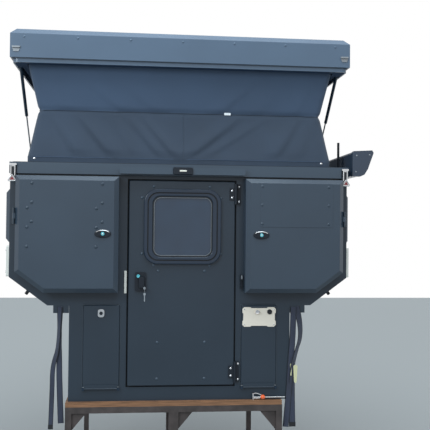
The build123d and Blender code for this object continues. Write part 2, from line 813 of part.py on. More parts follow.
# Side hatches: shallow bevelled pans over the side openings, hinged along the top
pod_hinge_z = pod_z[1] + 6
for name, side in (("side_hatch_left", -1), ("side_hatch_right", 1)):
    out = half_width + 1
    with BuildPart() as side_hatch:
        plane = Plane.YZ.offset(side * out)
        with BuildSketch(plane):
            with Locations((sum(pod_y) / 2, deck_z + sum(pod_z) / 2)):
                Rectangle(pod_y[1] - pod_y[0], pod_z[1] - pod_z[0])
        extrude(amount=side * (pod_proud - 1))
        outer_face = side_hatch.faces().sort_by(Axis.X)[-1 if side > 0 else 0]
        chamfer(outer_face.edges(), pod_bevel)
        hinge_x = side * (half_width + pod_hinge_out)
        block(
            (hinge_x - 3, hinge_x + 3),
            (pod_y[0] + 30, pod_y[1] - 30),
            (deck_z + pod_z[1] - 4, deck_z + pod_hinge_z),
        )
        with BuildSketch(Plane.XZ.offset(-(pod_y[0] + 30))):
            with Locations((hinge_x, deck_z + pod_hinge_z)):
                Circle(pod_hinge_r)
        extrude(amount=-(pod_y[1] - pod_y[0] - 60))
    side_hatch.part.label = name
    export_step(side_hatch.part, f"parts/{name}.step")

with BuildPart() as side_hatch_hinges:
    for side in (-1, 1):
        for y in ((pod_y[0] + 18, pod_y[0] + 29.5), (pod_y[1] - 29.5, pod_y[1] - 18)):
            x = (half_width, half_width + pod_hinge_out + 3)
            block(side_pair(x, side), y, (deck_z + pod_hinge_z - 3, deck_z + pod_hinge_z + 8))
side_hatch_hinges.part.label = "side_hatch_hinges"
export_step(side_hatch_hinges.part, "parts/side_hatch_hinges.step")

# Side windows: frames and tinted panes
with BuildPart() as side_window_frames:
    for side in (-1, 1):
        start = side * (half_width + face_gap)
        with BuildSketch(Plane.YZ.offset(start)):
            with Locations((sum(side_window_y) / 2, deck_z + sum(side_window_z) / 2)):
                RectangleRounded(
                    side_window_y[1] - side_window_y[0] + side_frame_width,
                    side_window_z[1] - side_window_z[0] + side_frame_width,
                    side_window_r + side_frame_width / 2,
                )
                RectangleRounded(
                    side_window_y[1] - side_window_y[0] - side_frame_width,
                    side_window_z[1] - side_window_z[0] - side_frame_width,
                    side_window_r - side_frame_width / 2,
                    mode=Mode.SUBTRACT,
                )
        extrude(amount=side * 12)
side_window_frames.part.label = "side_window_frames"
export_step(side_window_frames.part, "parts/side_window_frames.step")

with BuildPart() as side_window_panes:
    for side in (-1, 1):
        start = side * (half_width - 10)
        with BuildSketch(Plane.YZ.offset(start)):
            with Locations((sum(side_window_y) / 2, deck_z + sum(side_window_z) / 2)):
                RectangleRounded(
                    side_window_y[1] - side_window_y[0] - 1,
                    side_window_z[1] - side_window_z[0] - 1,
                    side_window_r - 0.5,
                )
        extrude(amount=side * 6)
side_window_panes.part.label = "side_window_panes"
export_step(side_window_panes.part, "parts/side_window_panes.step")

# Roof shell: bevelled pan with a lip that drops over the rail's edge
roof_y = (-roof_over, body_length + roof_over)
lip_half = roof_half - lip_inset
lip_y = (roof_y[0] + lip_inset, roof_y[1] - lip_inset)
canvas_y = (canvas_rear, body_length - canvas_rear)
with BuildPart() as roof_shell:
    block((-roof_half, roof_half), roof_y, z_roof)
    chamfer(roof_shell.faces().sort_by(Axis.Z)[-1].edges(), roof_bevel)
    with BuildSketch(Plane.XY.offset(z_lip)):
        with Locations((0, sum(lip_y) / 2)):
            RectangleRounded(2 * lip_half, lip_y[1] - lip_y[0], lip_corner)
    extrude(amount=z_roof[0] - z_lip)
    with BuildSketch(Plane.XY.offset(z_lip)):
        with Locations((0, sum(lip_y) / 2)):
            RectangleRounded(2 * (lip_half - lip_wall), lip_y[1] - lip_y[0] - 2 * lip_wall, lip_corner - lip_wall)
    extrude(amount=z_roof[1] - roof_skin - z_lip, mode=Mode.SUBTRACT)
roof_shell.part.label = "roof_shell"
export_step(roof_shell.part, "parts/roof_shell.step")

# Canvas track: flat frame inside the lip, open along both sides for the struts
track_set_in = lip_wall + face_gap
track_slot_x = (half_width - track_slot_in, lip_half)
with BuildPart() as canvas_track:
    with BuildSketch(Plane.XY.offset(z_lip)):
        with Locations((0, sum(lip_y) / 2)):
            RectangleRounded(
                2 * (lip_half - track_set_in), lip_y[1] - lip_y[0] - 2 * track_set_in, lip_corner - track_set_in
            )
            Rectangle(2 * (canvas_half + face_gap), canvas_y[1] - canvas_y[0] + 2 * face_gap, mode=Mode.SUBTRACT)
        for side in (-1, 1):
            with Locations((side * sum(track_slot_x) / 2, sum(lip_y) / 2)):
                Rectangle(track_slot_x[1] - track_slot_x[0], body_length - 2 * track_slot_y, mode=Mode.SUBTRACT)
    extrude(amount=track_thick)
canvas_track.part.label = "canvas_track"
export_step(canvas_track.part, "parts/canvas_track.step")
roof_inner = lip_half - lip_wall

# Canvas between the rail and the roof's ceiling, drawn in at its fold line
canvas_sections = (       # height above the floor, how far drawn in
    (z_rail[1] + face_gap, 0.0),
    (z_rail[1] + canvas_band, 0.0),
    (deck_z + canvas_fold_z, canvas_pinch),
    (z_lip, 0.0),
    (z_roof[1] - roof_skin - face_gap, 0.0),
)
with BuildPart() as canvas:
    for inset, mode in ((0.0, Mode.ADD), (canvas_thick, Mode.SUBTRACT)):
        for (low, drawn_low), (high, drawn_high) in zip(canvas_sections, canvas_sections[1:]):
            for height, drawn in ((low, drawn_low), (high, drawn_high)):
                with BuildSketch(Plane.XY.offset(height)):
                    with Locations((0, sum(canvas_y) / 2)):
                        Rectangle(
                            2 * (canvas_half - drawn - inset),
                            canvas_y[1] - canvas_y[0] - 2 * (drawn + inset),
                        )
            loft(ruled=True, mode=mode)
canvas.part.label = "canvas"
export_step(canvas.part, "parts/canvas.step")

# Gas struts: cylinders hang from brackets inside the roof, rods reach down to feet on the rail
strut_run = strut_foot[0] - strut_pivot[0]
strut_fall = strut_pivot[1] - strut_foot[1]
strut_length = math.hypot(strut_run, strut_fall)
for end, name in ((1, "rear"), (-1, "front")):
    top = (strut_pivot[0] if end > 0 else body_length - strut_pivot[0], deck_z + strut_pivot[1])
    along = (end * strut_run / strut_length, -strut_fall / strut_length)

    def on_strut(side, distance):
        """Plane across a strut at a distance from its upper pivot."""
        return Plane(
            origin=(side * strut_x, top[0] + along[0] * distance, top[1] + along[1] * distance),
            x_dir=(1, 0, 0),
            z_dir=(0, along[0], along[1]),
        )

    def eye_plane(side, distance):
        """Plane of an eye's inboard face at a distance from the upper pivot."""
        return Plane(
            origin=(
                side * strut_x - strut_eye_width / 2,
                top[0] + along[0] * distance,
                top[1] + along[1] * distance,
            ),
            x_dir=(0, 1, 0),
            z_dir=(1, 0, 0),
        )

    with BuildPart() as cylinders:
        for side in (-1, 1):
            with BuildSketch(eye_plane(side, 0)):
                Circle(strut_eye_r)
                Circle(strut_pin_r + pin_clearance, mode=Mode.SUBTRACT)
            extrude(amount=strut_eye_width)
            with BuildSketch(on_strut(side, strut_eye_r - 1.5)):
                Circle(strut_eye_width / 2 - 0.5)
            extrude(amount=strut_eye_r + 6)
            with BuildSketch(on_strut(side, strut_eye_r + 10)):
                Circle(strut_tube_r)
            extrude(amount=strut_tube_length - strut_eye_r - 10)
            with BuildSketch(on_strut(side, strut_eye_r + 18)):
                Circle(strut_rod_r + pin_clearance)
            extrude(amount=strut_tube_length, mode=Mode.SUBTRACT)
    cylinders.part.label = f"{name}_strut_cylinders"
    export_step(cylinders.part, f"parts/{name}_strut_cylinders.step")
    rod_start = strut_tube_length - 26
    with BuildPart() as rods:
        for side in (-1, 1):
            with BuildSketch(on_strut(side, rod_start)):
                Circle(strut_rod_r)
            extrude(amount=strut_length - rod_start - 2)
            with BuildSketch(on_strut(side, strut_length - 26)):
                Circle(strut_eye_width / 2 - 0.5)
            extrude(amount=20)
            with BuildSketch(eye_plane(side, strut_length)):
                Circle(strut_eye_r)
            extrude(amount=strut_eye_width)
    rods.part.label = f"{name}_strut_rods"
    export_step(rods.part, f"parts/{name}_strut_rods.step")

bracket_thick = 3.0
with BuildPart() as strut_roof_brackets:
    for side in (-1, 1):
        for y in (strut_pivot[0], body_length - strut_pivot[0]):
            plate = Plane(
                origin=(side * (roof_inner - bracket_thick), y, deck_z + strut_pivot[1]),
                x_dir=(0, 1, 0),
                z_dir=(side, 0, 0),
            )
            with BuildSketch(plate):
                RectangleRounded(44, 30, 5)
            extrude(amount=bracket_thick)
            with BuildSketch(plate):
                Circle(strut_pin_r)
            extrude(amount=-(roof_inner - bracket_thick - strut_x + strut_eye_width / 2 + 2))
strut_roof_brackets.part.label = "strut_roof_brackets"
export_step(strut_roof_brackets.part, "parts/strut_roof_brackets.step")

with BuildPart() as strut_feet:
    for side in (-1, 1):
        for y in (strut_foot[0], body_length - strut_foot[0]):
            near = strut_x - strut_eye_width / 2 - 0.5
            upright = side_pair((near - bracket_thick, near), side)
            block(upright, (y - 12, y + 12), (z_rail[1], deck_z + strut_foot[1] + 10))
            base = side_pair((near - bracket_thick, near + foot_reach), side)
            block(base, (y - 22, y + 22), (z_rail[1], z_rail[1] + bracket_thick))
strut_feet.part.label = "strut_feet"
export_step(strut_feet.part, "parts/strut_feet.step")

# Stainless toggle latches on the rail and their keepers on the roof
toggle_ends = (rail_outer_y[0], rail_outer_y[1])


def toggle_face(end, side):
    """Plane of a toggle's back at one end (0 rear, 1 front) and side, with its Y up from the deck."""
    out = 1 if end else -1
    return Plane(
        origin=(side * toggle_x, toggle_ends[end] + out * face_gap, deck_z), x_dir=(-out, 0, 0), z_dir=(0, out, 0)
    )


toggle_corners = [(end, side) for end in (0, 1) for side in (-1, 1)]
with BuildPart() as toggle_bases:
    for end, side in toggle_corners:
        with BuildSketch(toggle_face(end, side)):
            with Locations((0, rail_z[1] - toggle_base[1] / 2 - 7)):
                RectangleRounded(toggle_base[0], toggle_base[1], 5)
        extrude(amount=toggle_thick)
toggle_bases.part.label = "toggle_bases"
export_step(toggle_bases.part, "parts/toggle_bases.step")

with BuildPart() as toggle_latches:
    for end, side in toggle_corners:
        face = toggle_face(end, side)
        turned = -side if end else side
        with BuildSketch(face.offset(toggle_thick + face_gap)):
            with Locations((0, rail_z[1] - toggle_body[1] / 2 - 16)):
                Rectangle(*toggle_body)
        extrude(amount=8)
        with BuildSketch(face.offset(10)):
            Polygon(
                (4 * turned, toggle_handle_z[1]),
                ((4 - toggle_grip / 2) * turned, toggle_handle_z[0]),
                ((4 + toggle_grip / 2) * turned, toggle_handle_z[0]),
                align=None,
            )
        extrude(amount=4)
        with BuildSketch(face.offset(toggle_thick + face_gap)):
            with Locations((0, rail_z[1] - 14)):
                RectangleRounded(toggle_base[0] + 2, 10, 4)
        extrude(amount=13)
toggle_latches.part.label = "toggle_latches"
export_step(toggle_latches.part, "parts/toggle_latches.step")

with BuildPart() as roof_keepers:
    for y, out in ((roof_y[0], -1), (roof_y[1], 1)):
        for side in (-1, 1):
            face = Plane(
                origin=(side * (toggle_x - 3), y + out * face_gap, deck_z), x_dir=(-out, 0, 0), z_dir=(0, out, 0)
            )
            with BuildSketch(face):
                Polygon(
                    (-keeper_wide / 2, keeper_z[1]),
                    (-keeper_narrow / 2, keeper_z[0]),
                    (keeper_narrow / 2, keeper_z[0]),
                    (keeper_wide / 2, keeper_z[1]),
                    align=None,
                )
            extrude(amount=3)
            with BuildSketch(face):
                with Locations((0, keeper_z[1] - 5)):
                    Rectangle(keeper_wide - 6, 8)
            extrude(amount=12)
roof_keepers.part.label = "roof_keepers"
export_step(roof_keepers.part, "parts/roof_keepers.step")

# Awning cassette along the right-hand wall
awning_outline = [(awning_back + out, height) for out, height in awning_profile]
with BuildPart() as awning_cassette:
    for start, end, shrink in (
        (0.0, awning_cap, 0.0),
        (awning_cap, awning_length - awning_cap, 3.0),
        (awning_length - awning_cap, awning_length, 0.0),
    ):
        with BuildSketch(rear_plane(start)):
            with BuildLine():
                Polyline(*above_deck(awning_outline), close=True)
            make_face()
            if shrink:
                offset(amount=-shrink, mode=Mode.REPLACE)
        extrude(amount=-(end - start))
awning_cassette.part.label = "awning_cassette"
export_step(awning_cassette.part, "parts/awning_cassette.step")

post_y = 260.0
post_r = 7.0
post_top = 1435.0
bracket_z = (rail_z[0] + 20, rail_z[1] - 4)
with BuildPart() as awning_brackets:
    for y in (post_y, awning_length / 2, awning_length - post_y):
        inner = half_width + face_gap
        block((inner, awning_back + 3), (y - 30, y + 30), (deck_z + bracket_z[0], deck_z + bracket_z[1]))
    with BuildSketch(Plane.XY.offset(deck_z + bracket_z[1])):
        with Locations((awning_back - face_gap - post_r - 3.5, post_y)):
            Circle(post_r)
    extrude(amount=post_top - bracket_z[1])
awning_brackets.part.label = "awning_brackets"
export_step(awning_brackets.part, "parts/awning_brackets.step")

# Brackets for the four lifting jacks
jack_ends = (62.0, lower_length - 62.0)
with BuildPart() as jack_brackets:
    for side in (-1, 1):
        for y in jack_ends:
            base_plane = Plane(
                origin=(side * half_width, y, deck_z + sum(jack_z) / 2), x_dir=(0, 1, 0), z_dir=(side, 0, 0)
            )
            with BuildSketch(base_plane):
                RectangleRounded(jack_size[0], jack_z[1] - jack_z[0], 6)
            extrude(amount=jack_size[1])
            with Locations(base_plane.offset(jack_size[1])):
                with GridLocations(jack_pitch[0], jack_pitch[1], 2, 2):
                    Hole(jack_hole_r, depth=jack_size[1] - 3)
jack_brackets.part.label = "jack_brackets"
export_step(jack_brackets.part, "parts/jack_brackets.step")

# Tie-down angles under the wings
with BuildPart() as tiedown_brackets:
    for side in (-1, 1):
        for y in tie_y:
            x = (side * tie_x - tie_width / 2, side * tie_x + tie_width / 2)
            block(x, (y, y + 40), (z_under - tie_thick, z_under))
            block(x, (y, y + tie_thick), (z_under - tie_drop, z_under))
            with BuildSketch(rear_plane(y)):
                with Locations((side * tie_x, z_under - 24)):
                    Circle(tie_hole_r)
            extrude(amount=-tie_thick, mode=Mode.SUBTRACT)
tiedown_brackets.part.label = "tiedown_brackets"
export_step(tiedown_brackets.part, "parts/tiedown_brackets.step")

# Webbing slings hanging from the rear tie-downs
for name, side, width, face_y, route in sling_routes:
    points = [Vector(side * (tie_x + out), z_under - down) for out, down in route]
    radii = []
    for before, corner, after in zip(points, points[1:], points[2:]):
        turn = (corner - before).get_angle(after - corner)
        shorter = min((corner - before).length, (after - corner).length)
        radii.append(0.45 * shorter / math.tan(math.radians(turn) / 2))
    print(name, "radii", [round(r) for r in radii])
    with BuildPart() as sling:
        with BuildSketch(rear_plane(face_y)):
            with BuildLine() as path:
                FilletPolyline(*points, radius=radii)
            trace(path.line, width)
        extrude(amount=sling_thick)
    sling.part.label = name
    export_step(sling.part, f"parts/{name}.step")

# Hold-down screw lying on the deck's rear ledge: rod, ball and turned-up end
clamp_z = deck_z + clamp_ball_r + face_gap
with BuildPart() as holddown_screw:
    with BuildSketch(Plane.YZ.offset(clamp_x[0])):
        with Locations((clamp_y, clamp_z)):
            Circle(clamp_rod_r)
    extrude(amount=clamp_x[1] - clamp_x[0])
    with Locations((clamp_ball_x, clamp_y, clamp_z)):
        Sphere(clamp_ball_r)
    with BuildSketch(Plane.XY.offset(deck_z + face_gap)):
        with Locations((clamp_x[0], clamp_y)):
            Circle(clamp_rod_r + 0.8)
    extrude(amount=clamp_hook)
holddown_screw.part.label = "holddown_screw"
export_step(holddown_screw.part, "parts/holddown_screw.step")
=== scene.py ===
"""Finishes, cloth and small fittings of a pop-top truck camper on its display stand.

Places are metres in the CAD's frame: +X to the right seen from behind, +Y forward, +Z up.
A height that is counted from the stand's deck has DECK added where it is used. The sizes of
shapes that are built on a seat are millimetres.
"""
import logging
import math
from collections.abc import Iterable
from dataclasses import dataclass
from enum import Enum
from itertools import product

import bpy
import numpy as np
from mathutils import Matrix, Vector


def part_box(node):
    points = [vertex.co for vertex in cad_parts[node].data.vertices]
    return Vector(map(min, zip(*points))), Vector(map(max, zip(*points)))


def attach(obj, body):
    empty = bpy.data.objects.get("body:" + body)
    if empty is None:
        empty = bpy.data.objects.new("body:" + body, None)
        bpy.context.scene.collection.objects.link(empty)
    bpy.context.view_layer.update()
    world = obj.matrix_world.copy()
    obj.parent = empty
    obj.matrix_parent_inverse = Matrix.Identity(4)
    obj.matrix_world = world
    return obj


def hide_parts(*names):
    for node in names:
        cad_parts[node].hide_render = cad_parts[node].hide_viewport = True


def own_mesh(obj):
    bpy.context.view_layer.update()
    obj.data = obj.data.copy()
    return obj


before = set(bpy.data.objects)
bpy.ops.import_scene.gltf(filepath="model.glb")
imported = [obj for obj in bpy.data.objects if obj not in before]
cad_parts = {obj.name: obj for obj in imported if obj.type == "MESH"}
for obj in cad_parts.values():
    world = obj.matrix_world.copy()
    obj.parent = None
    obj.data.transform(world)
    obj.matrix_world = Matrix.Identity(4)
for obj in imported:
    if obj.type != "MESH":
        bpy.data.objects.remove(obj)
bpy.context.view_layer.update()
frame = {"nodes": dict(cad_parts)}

MM = 0.001
DECK = 0.700
SKY = (0.80, 0.92, 1.0)
ALONG_X, ALONG_Y, ALONG_Z = (1.0, 0.0, 0.0), (0.0, 1.0, 0.0), (0.0, 0.0, 1.0)
DOWN = (0.0, 0.0, -1.0)
HANDS = {-1: "left", 1: "right"}
LOG = logging.getLogger("camper")

Array = np.ndarray
Pair = tuple[float, float]
Triple = tuple[float, float, float]
Node = bpy.types.Node
Socket = bpy.types.NodeSocket

COAT_ROUGHNESS = 0.18
ROUGHNESS_DRIFT = 0.06
RAMP_ENDS = (0.30, 0.70)
EVEN = (1, 1, 1)
# Stretch, features per metre and octaves of the streaks in timber.
WOOD_STREAKS = ((2.2, 9.0, 70.0), 4.0, 6.0)
THREADS = 240.0
THREAD_WANDER = 0.6
MIXED: dict[str, bpy.types.Material] = {}


def wire(node: Node, inputs: dict[str | int, object]) -> Node:
    """Link or set a node's inputs.

    Args:
        node: The node.
        inputs: For each input, by name or number, the socket to link or the value to set.

    Returns:
        The same node.
    """
    for name, value in inputs.items():
        if isinstance(value, Socket):
            node.id_data.links.new(value, node.inputs[name])
        else:
            node.inputs[name].default_value = value
    return node


def add_node(tree: bpy.types.NodeTree, kind: str, inputs: dict[str | int, object]) -> Node:
    """Add a shader node and wire its inputs."""
    return wire(tree.nodes.new(f"ShaderNode{kind}"), inputs)


def noise(place: Socket, stretch: Triple, scale: float, detail: float) -> Socket:
    """A noise read through a stretched mapping.

    Args:
        place: The coordinates to read.
        stretch: Scale along each axis before the noise.
        scale: Features per metre.
        detail: Octaves of the noise.

    Returns:
        The noise's factor.
    """
    mapping = add_node(place.id_data, "Mapping", {"Vector": place, "Scale": stretch})
    cloud = add_node(place.id_data, "TexNoise", {
        "Vector": mapping.outputs["Vector"], "Scale": scale, "Detail": detail})
    return cloud.outputs["Fac"]


def weave(place: Socket) -> Socket:
    """Plain weave: the product of two crossed sets of bands.

    Args:
        place: UV coordinates in metres of cloth.

    Returns:
        The height of the threads.
    """
    bands = []
    for direction in ("X", "Y"):
        wave = add_node(place.id_data, "TexWave", {
            "Vector": place, "Scale": THREADS, "Distortion": THREAD_WANDER})
        wave.bands_direction = direction
        bands.append(wave.outputs["Fac"])
    crossed = add_node(place.id_data, "Math", dict(enumerate(bands)))
    crossed.operation = "MULTIPLY"
    return crossed.outputs["Value"]


class Grain(Enum):
    """A finish's surface: the stretch and the fineness of its bump, where that is a noise."""

    PEEL = (EVEN, 260.0)
    BRUSHED = ((1, 14, 1), 120.0)
    TIMBER = ((3, 12, 90), 9.0)
    MILL = (EVEN, 75.0)
    MOULDED = (EVEN, 900.0)
    WEAVE = "crossed threads"
    CLEAR = "no bump"


@dataclass(frozen=True)
class Finish:
    """One finish: a display colour in 8-bit sRGB, its gloss and its surface.

    The colour drifts by a share to both sides, over patches of so many to a metre.
    """

    name: str
    colour: Triple
    rough: float = 0.45
    metal: float = 0.0
    coat: float = 0.0
    grain: Grain = Grain.PEEL
    drift: float = 0.10
    patch: float = 3.0
    bump: float = 0.08
    sheen: float = 0.0
    gloss: float = 0.5

    def tone(self, share: float) -> tuple[float, ...]:
        """Linear colour of the finish, made lighter or darker by a share."""
        srgb = np.array(self.colour) / 255.0
        line = np.where(srgb <= 0.04045, srgb / 12.92, ((srgb + 0.055) / 1.055) ** 2.4)
        return (*np.clip(line * share, 0.0, 1.0).tolist(), 1.0)

    def material(self) -> bpy.types.Material:
        """Build the node material, once.

        Its colour and its roughness drift over the same broad patches, except that the colour
        of timber follows its streaks. Its bump follows the grain.

        Returns:
            The material.
        """
        if self.name in MIXED:
            return MIXED[self.name]
        mat = MIXED[self.name] = bpy.data.materials.new(self.name)
        mat.use_nodes = True
        tree = mat.node_tree
        place = tree.nodes.new("ShaderNodeTexCoord")
        broad = noise(place.outputs["Object"], EVEN, self.patch, 3.0)
        wood = self.grain is Grain.TIMBER
        ramp = add_node(tree, "ValToRGB", {
            "Fac": noise(place.outputs["Object"], *WOOD_STREAKS) if wood else broad})
        for stop, position, way in zip(ramp.color_ramp.elements, RAMP_ENDS, (-1, 1)):
            stop.position = position
            stop.color = self.tone(1.0 + way * self.drift)
        spread = add_node(tree, "MapRange", {
            "Value": broad, "To Min": max(self.rough - ROUGHNESS_DRIFT, 0.02),
            "To Max": min(self.rough + ROUGHNESS_DRIFT, 1.0)})
        shader = wire(tree.nodes["Principled BSDF"], {
            "Base Color": ramp.outputs["Color"], "Roughness": spread.outputs["Result"],
            "Metallic": self.metal, "Specular IOR Level": self.gloss, "Sheen Weight": self.sheen,
            "Coat Weight": self.coat, "Coat Roughness": COAT_ROUGHNESS})
        if self.grain is not Grain.CLEAR:
            height = (weave(place.outputs["UV"]) if self.grain is Grain.WEAVE
                      else noise(place.outputs["Object"], *self.grain.value, 4.0))
            bump = add_node(tree, "Bump", {
                "Height": height, "Strength": self.bump, "Distance": 1.0 * MM})
            wire(shader, {"Normal": bump.outputs["Normal"]})
        return mat


@dataclass(frozen=True)
class Palette:
    """Every finish on the camper and its stand."""

    body: Finish = Finish("body_paint", (49, 62, 75), 0.36, coat=0.15, drift=0.06, bump=0.10,
                          gloss=0.4)
    rail: Finish = Finish("rail_paint", (52, 67, 81), 0.36, coat=0.15, drift=0.05)
    # The body paint made darker: painted shade on the lower panels, the wing floors, the door, the
    # lower hatches and the small fittings there.
    low: Finish = Finish("lower_body_painted_shade", (39, 50, 61), 0.38, coat=0.1, drift=0.06, bump=0.10,
                         gloss=0.35)
    seal: Finish = Finish("grey_seal", (54, 64, 74), 0.60, grain=Grain.MOULDED, drift=0.05,
                          bump=0.2)
    roof: Finish = Finish("roof_paint", (76, 95, 115), 0.34, coat=0.2, drift=0.05)
    track: Finish = Finish("track_paint", (52, 68, 90), 0.85, gloss=0.1)
    canvas: Finish = Finish("skirt_upper_cloth", (65, 82, 105), 0.85, grain=Grain.WEAVE,
                            patch=2.0, bump=0.35, sheen=0.15)
    skirt: Finish = Finish("skirt_lower_cloth", (50, 62, 78), 0.85, grain=Grain.WEAVE,
                           drift=0.14, bump=0.35, sheen=0.15)
    deck: Finish = Finish("deck_timber", (128, 90, 62), 0.62, grain=Grain.TIMBER, drift=0.50,
                          bump=0.5)
    ply: Finish = Finish("locker_plywood", (176, 150, 112), 0.6, grain=Grain.TIMBER, drift=0.2,
                         bump=0.3)
    stand: Finish = Finish("trestle_steel", (62, 54, 52), 0.60, grain=Grain.MILL, drift=0.40,
                           patch=16.0, bump=0.5)
    steel: Finish = Finish("stainless_steel", (206, 208, 210), 0.26, 1.0, grain=Grain.BRUSHED,
                           bump=0.12)
    dull: Finish = Finish("galvanised_steel", (142, 147, 152), 0.52, 0.7, grain=Grain.BRUSHED,
                          bump=0.12)
    pale: Finish = Finish("raw_aluminium", (226, 224, 216), 0.48, 0.15, grain=Grain.BRUSHED,
                          bump=0.12)
    chrome: Finish = Finish("bright_chrome", (220, 222, 226), 0.10, 1.0, grain=Grain.CLEAR,
                            drift=0.02)
    black: Finish = Finish("moulded_black", (22, 29, 38), 0.44, grain=Grain.MOULDED, bump=0.12,
                           gloss=0.3)
    rubber: Finish = Finish("black_rubber", (22, 25, 30), 0.72, grain=Grain.MOULDED, bump=0.3)
    frame: Finish = Finish("window_frame_moulding", (16, 36, 54), 0.2, grain=Grain.MOULDED,
                           drift=0.04, bump=0.05)
    strut: Finish = Finish("strut_enamel", (22, 42, 58), 0.30, coat=0.1, drift=0.05)
    cream: Finish = Finish("cream_cover", (228, 216, 200), 0.50, grain=Grain.MOULDED, drift=0.04,
                           bump=0.1)
    awning: Finish = Finish("awning_paint", (34, 50, 68), 0.28, coat=0.3, bump=0.06)
    glass: Finish = Finish("tinted_glass", (30, 51, 71), 0.06, coat=0.2, grain=Grain.CLEAR,
                           drift=0.42, patch=1.7)
    lens: Finish = Finish("porch_lamp_lens", (228, 222, 208), 0.22, coat=0.5, grain=Grain.CLEAR,
                          drift=0.02)
    # Chrome tinted teal: painted reflection of the sky on the lock cylinders.
    cap: Finish = Finish("lock_cap_sky_reflection", (84, 184, 196), 0.22, coat=0.6, grain=Grain.CLEAR,
                         drift=0.04)
    webbing: Finish = Finish("sling_webbing", (45, 51, 69), 0.74, grain=Grain.WEAVE, drift=0.22,
                             patch=9.0, bump=0.6, sheen=0.2)
    red: Finish = Finish("red_enamel", (124, 22, 32), 0.35, coat=0.4, grain=Grain.MOULDED,
                         drift=0.05)
    orange: Finish = Finish("orange_enamel", (236, 96, 38), 0.42, coat=0.3, grain=Grain.MOULDED,
                            drift=0.06)
    label: Finish = Finish("sewn_label", (208, 204, 162), 0.62, grain=Grain.WEAVE, drift=0.06,
                           bump=0.2)
    white: Finish = Finish("white_tape", (232, 234, 236), 0.6, grain=Grain.WEAVE, drift=0.03,
                           bump=0.2)


PALETTE = Palette()


def paint(finish: Finish, *nodes: str) -> None:
    """Give CAD nodes their finish.

    Args:
        finish: The finish.
        nodes: The nodes' names.
    """
    for node in nodes:
        slots = bpy.data.objects[node].data.materials
        if slots:
            slots[0] = finish.material()
        else:
            slots.append(finish.material())


def box(node: str) -> tuple[Array, Array, Array]:
    """Lowest corner, highest corner and middle of a CAD node at rest."""
    low, high = (np.array(corner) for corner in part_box(node))
    return low, high, (low + high) / 2


@dataclass(frozen=True)
class Shape:
    """A closed shape: its points, its faces as point numbers, and a UV in metres by point."""

    points: Array
    faces: list[list[int]]
    uv: Array | None = None


def piece(name: str, body: str, finish: Finish, *shapes: Shape,
          smooth: float = 35.0) -> bpy.types.Object:
    """Make a Blender object of closed shapes, dress it and let it ride on a body.

    Args:
        name: The piece's name.
        body: The body that carries it.
        finish: Its finish.
        shapes: What it is made of.
        smooth: Largest angle in degrees that is shaded smooth.

    Returns:
        The object, at the origin, with its place in its mesh.
    """
    starts = np.cumsum([0] + [len(shape.points) for shape in shapes]).tolist()
    faces = [[start + i for i in face] for start, shape in zip(starts, shapes)
             for face in shape.faces]
    uv = np.vstack([shape.points[:, :2] if shape.uv is None else shape.uv for shape in shapes])
    mesh = bpy.data.meshes.new(name)
    mesh.from_pydata(np.vstack([shape.points for shape in shapes]).tolist(), [], faces)
    layer = mesh.uv_layers.new(name="cloth")
    corners = np.zeros(len(mesh.loops), dtype=np.int32)
    mesh.loops.foreach_get("vertex_index", corners)
    layer.data.foreach_set("uv", uv[corners].ravel())
    mesh.update()
    mesh.materials.append(finish.material())
    mesh.shade_smooth()
    mesh.set_sharp_from_angle(angle=math.radians(smooth))
    obj = bpy.data.objects.new(name, mesh)
    bpy.context.collection.objects.link(obj)
    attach(obj, body)
    LOG.info("%s: %d faces on %s", name, len(faces), body)
    return obj


def skin(rows: int, columns: int, ends: bool = True) -> list[list[int]]:
    """Faces of a tube of rings: quads between neighbouring rings, and a cap on each end.

    Args:
        rows: Rings along the tube.
        columns: Points in each ring.
        ends: Whether the ends are capped.

    Returns:
        The faces, as point numbers.
    """
    row, column = np.meshgrid(np.arange(rows - 1), np.arange(columns), indexing="ij")
    ahead = (column + 1) % columns
    quads = np.stack([row * columns + column, row * columns + ahead,
                      (row + 1) * columns + ahead, (row + 1) * columns + column], axis=-1)
    ring = list(range(columns))
    caps = [ring[::-1], [(rows - 1) * columns + i for i in ring]] if ends else []
    return quads.reshape(-1, 4).tolist() + caps


def rounded(width: float, height: float, radius: float, steps: int = 6) -> Array:
    """Outline of a rounded rectangle about the origin, anticlockwise.

    Each corner is a quarter circle, centre plus radius times (cos a, sin a), with a
    running over its own quarter turn.

    Args:
        width: Size along the first axis.
        height: Size along the second axis.
        radius: Corner radius.
        steps: Spans in each corner.

    Returns:
        Points, n by 2, in the unit of the sizes.
    """
    quarter = np.linspace(0.0, math.pi / 2, steps + 1)
    turns = (np.arange(4)[:, None] * math.pi / 2 + quarter[None, :]).ravel()
    signs = np.repeat(np.array([[1, 1], [-1, 1], [-1, -1], [1, -1]]), steps + 1, axis=0)
    centre = signs * np.array([width / 2 - radius, height / 2 - radius])
    return centre + radius * np.stack([np.cos(turns), np.sin(turns)], axis=1)


@dataclass(frozen=True)
class Seat:
    """A place to build on, facing backwards if nothing else is said."""

    origin: Triple
    out: Triple = (0.0, -1.0, 0.0)
    up: Triple = ALONG_Z

    def place(self, local: Array) -> Array:
        """Turn points in millimetres (across, up, out) into the frame's points in metres."""
        basis = np.array([np.cross(self.up, self.out), self.up, self.out])
        return np.array(self.origin) + MM * local @ basis


def on_rear(y: float, places: Iterable[Pair]) -> list[Seat]:
    """Seats that face backwards at one depth, from each x and height above the deck."""
    return [Seat((x, y, DECK + z)) for x, z in places]


def layers(seat: Seat, *rings: tuple[Array, float]) -> Array:
    """Points of outlines that are laid on a seat, each at its own height."""
    return seat.place(np.vstack([np.column_stack([outline, np.full(len(outline), height)])
                                 for outline, height in rings]))


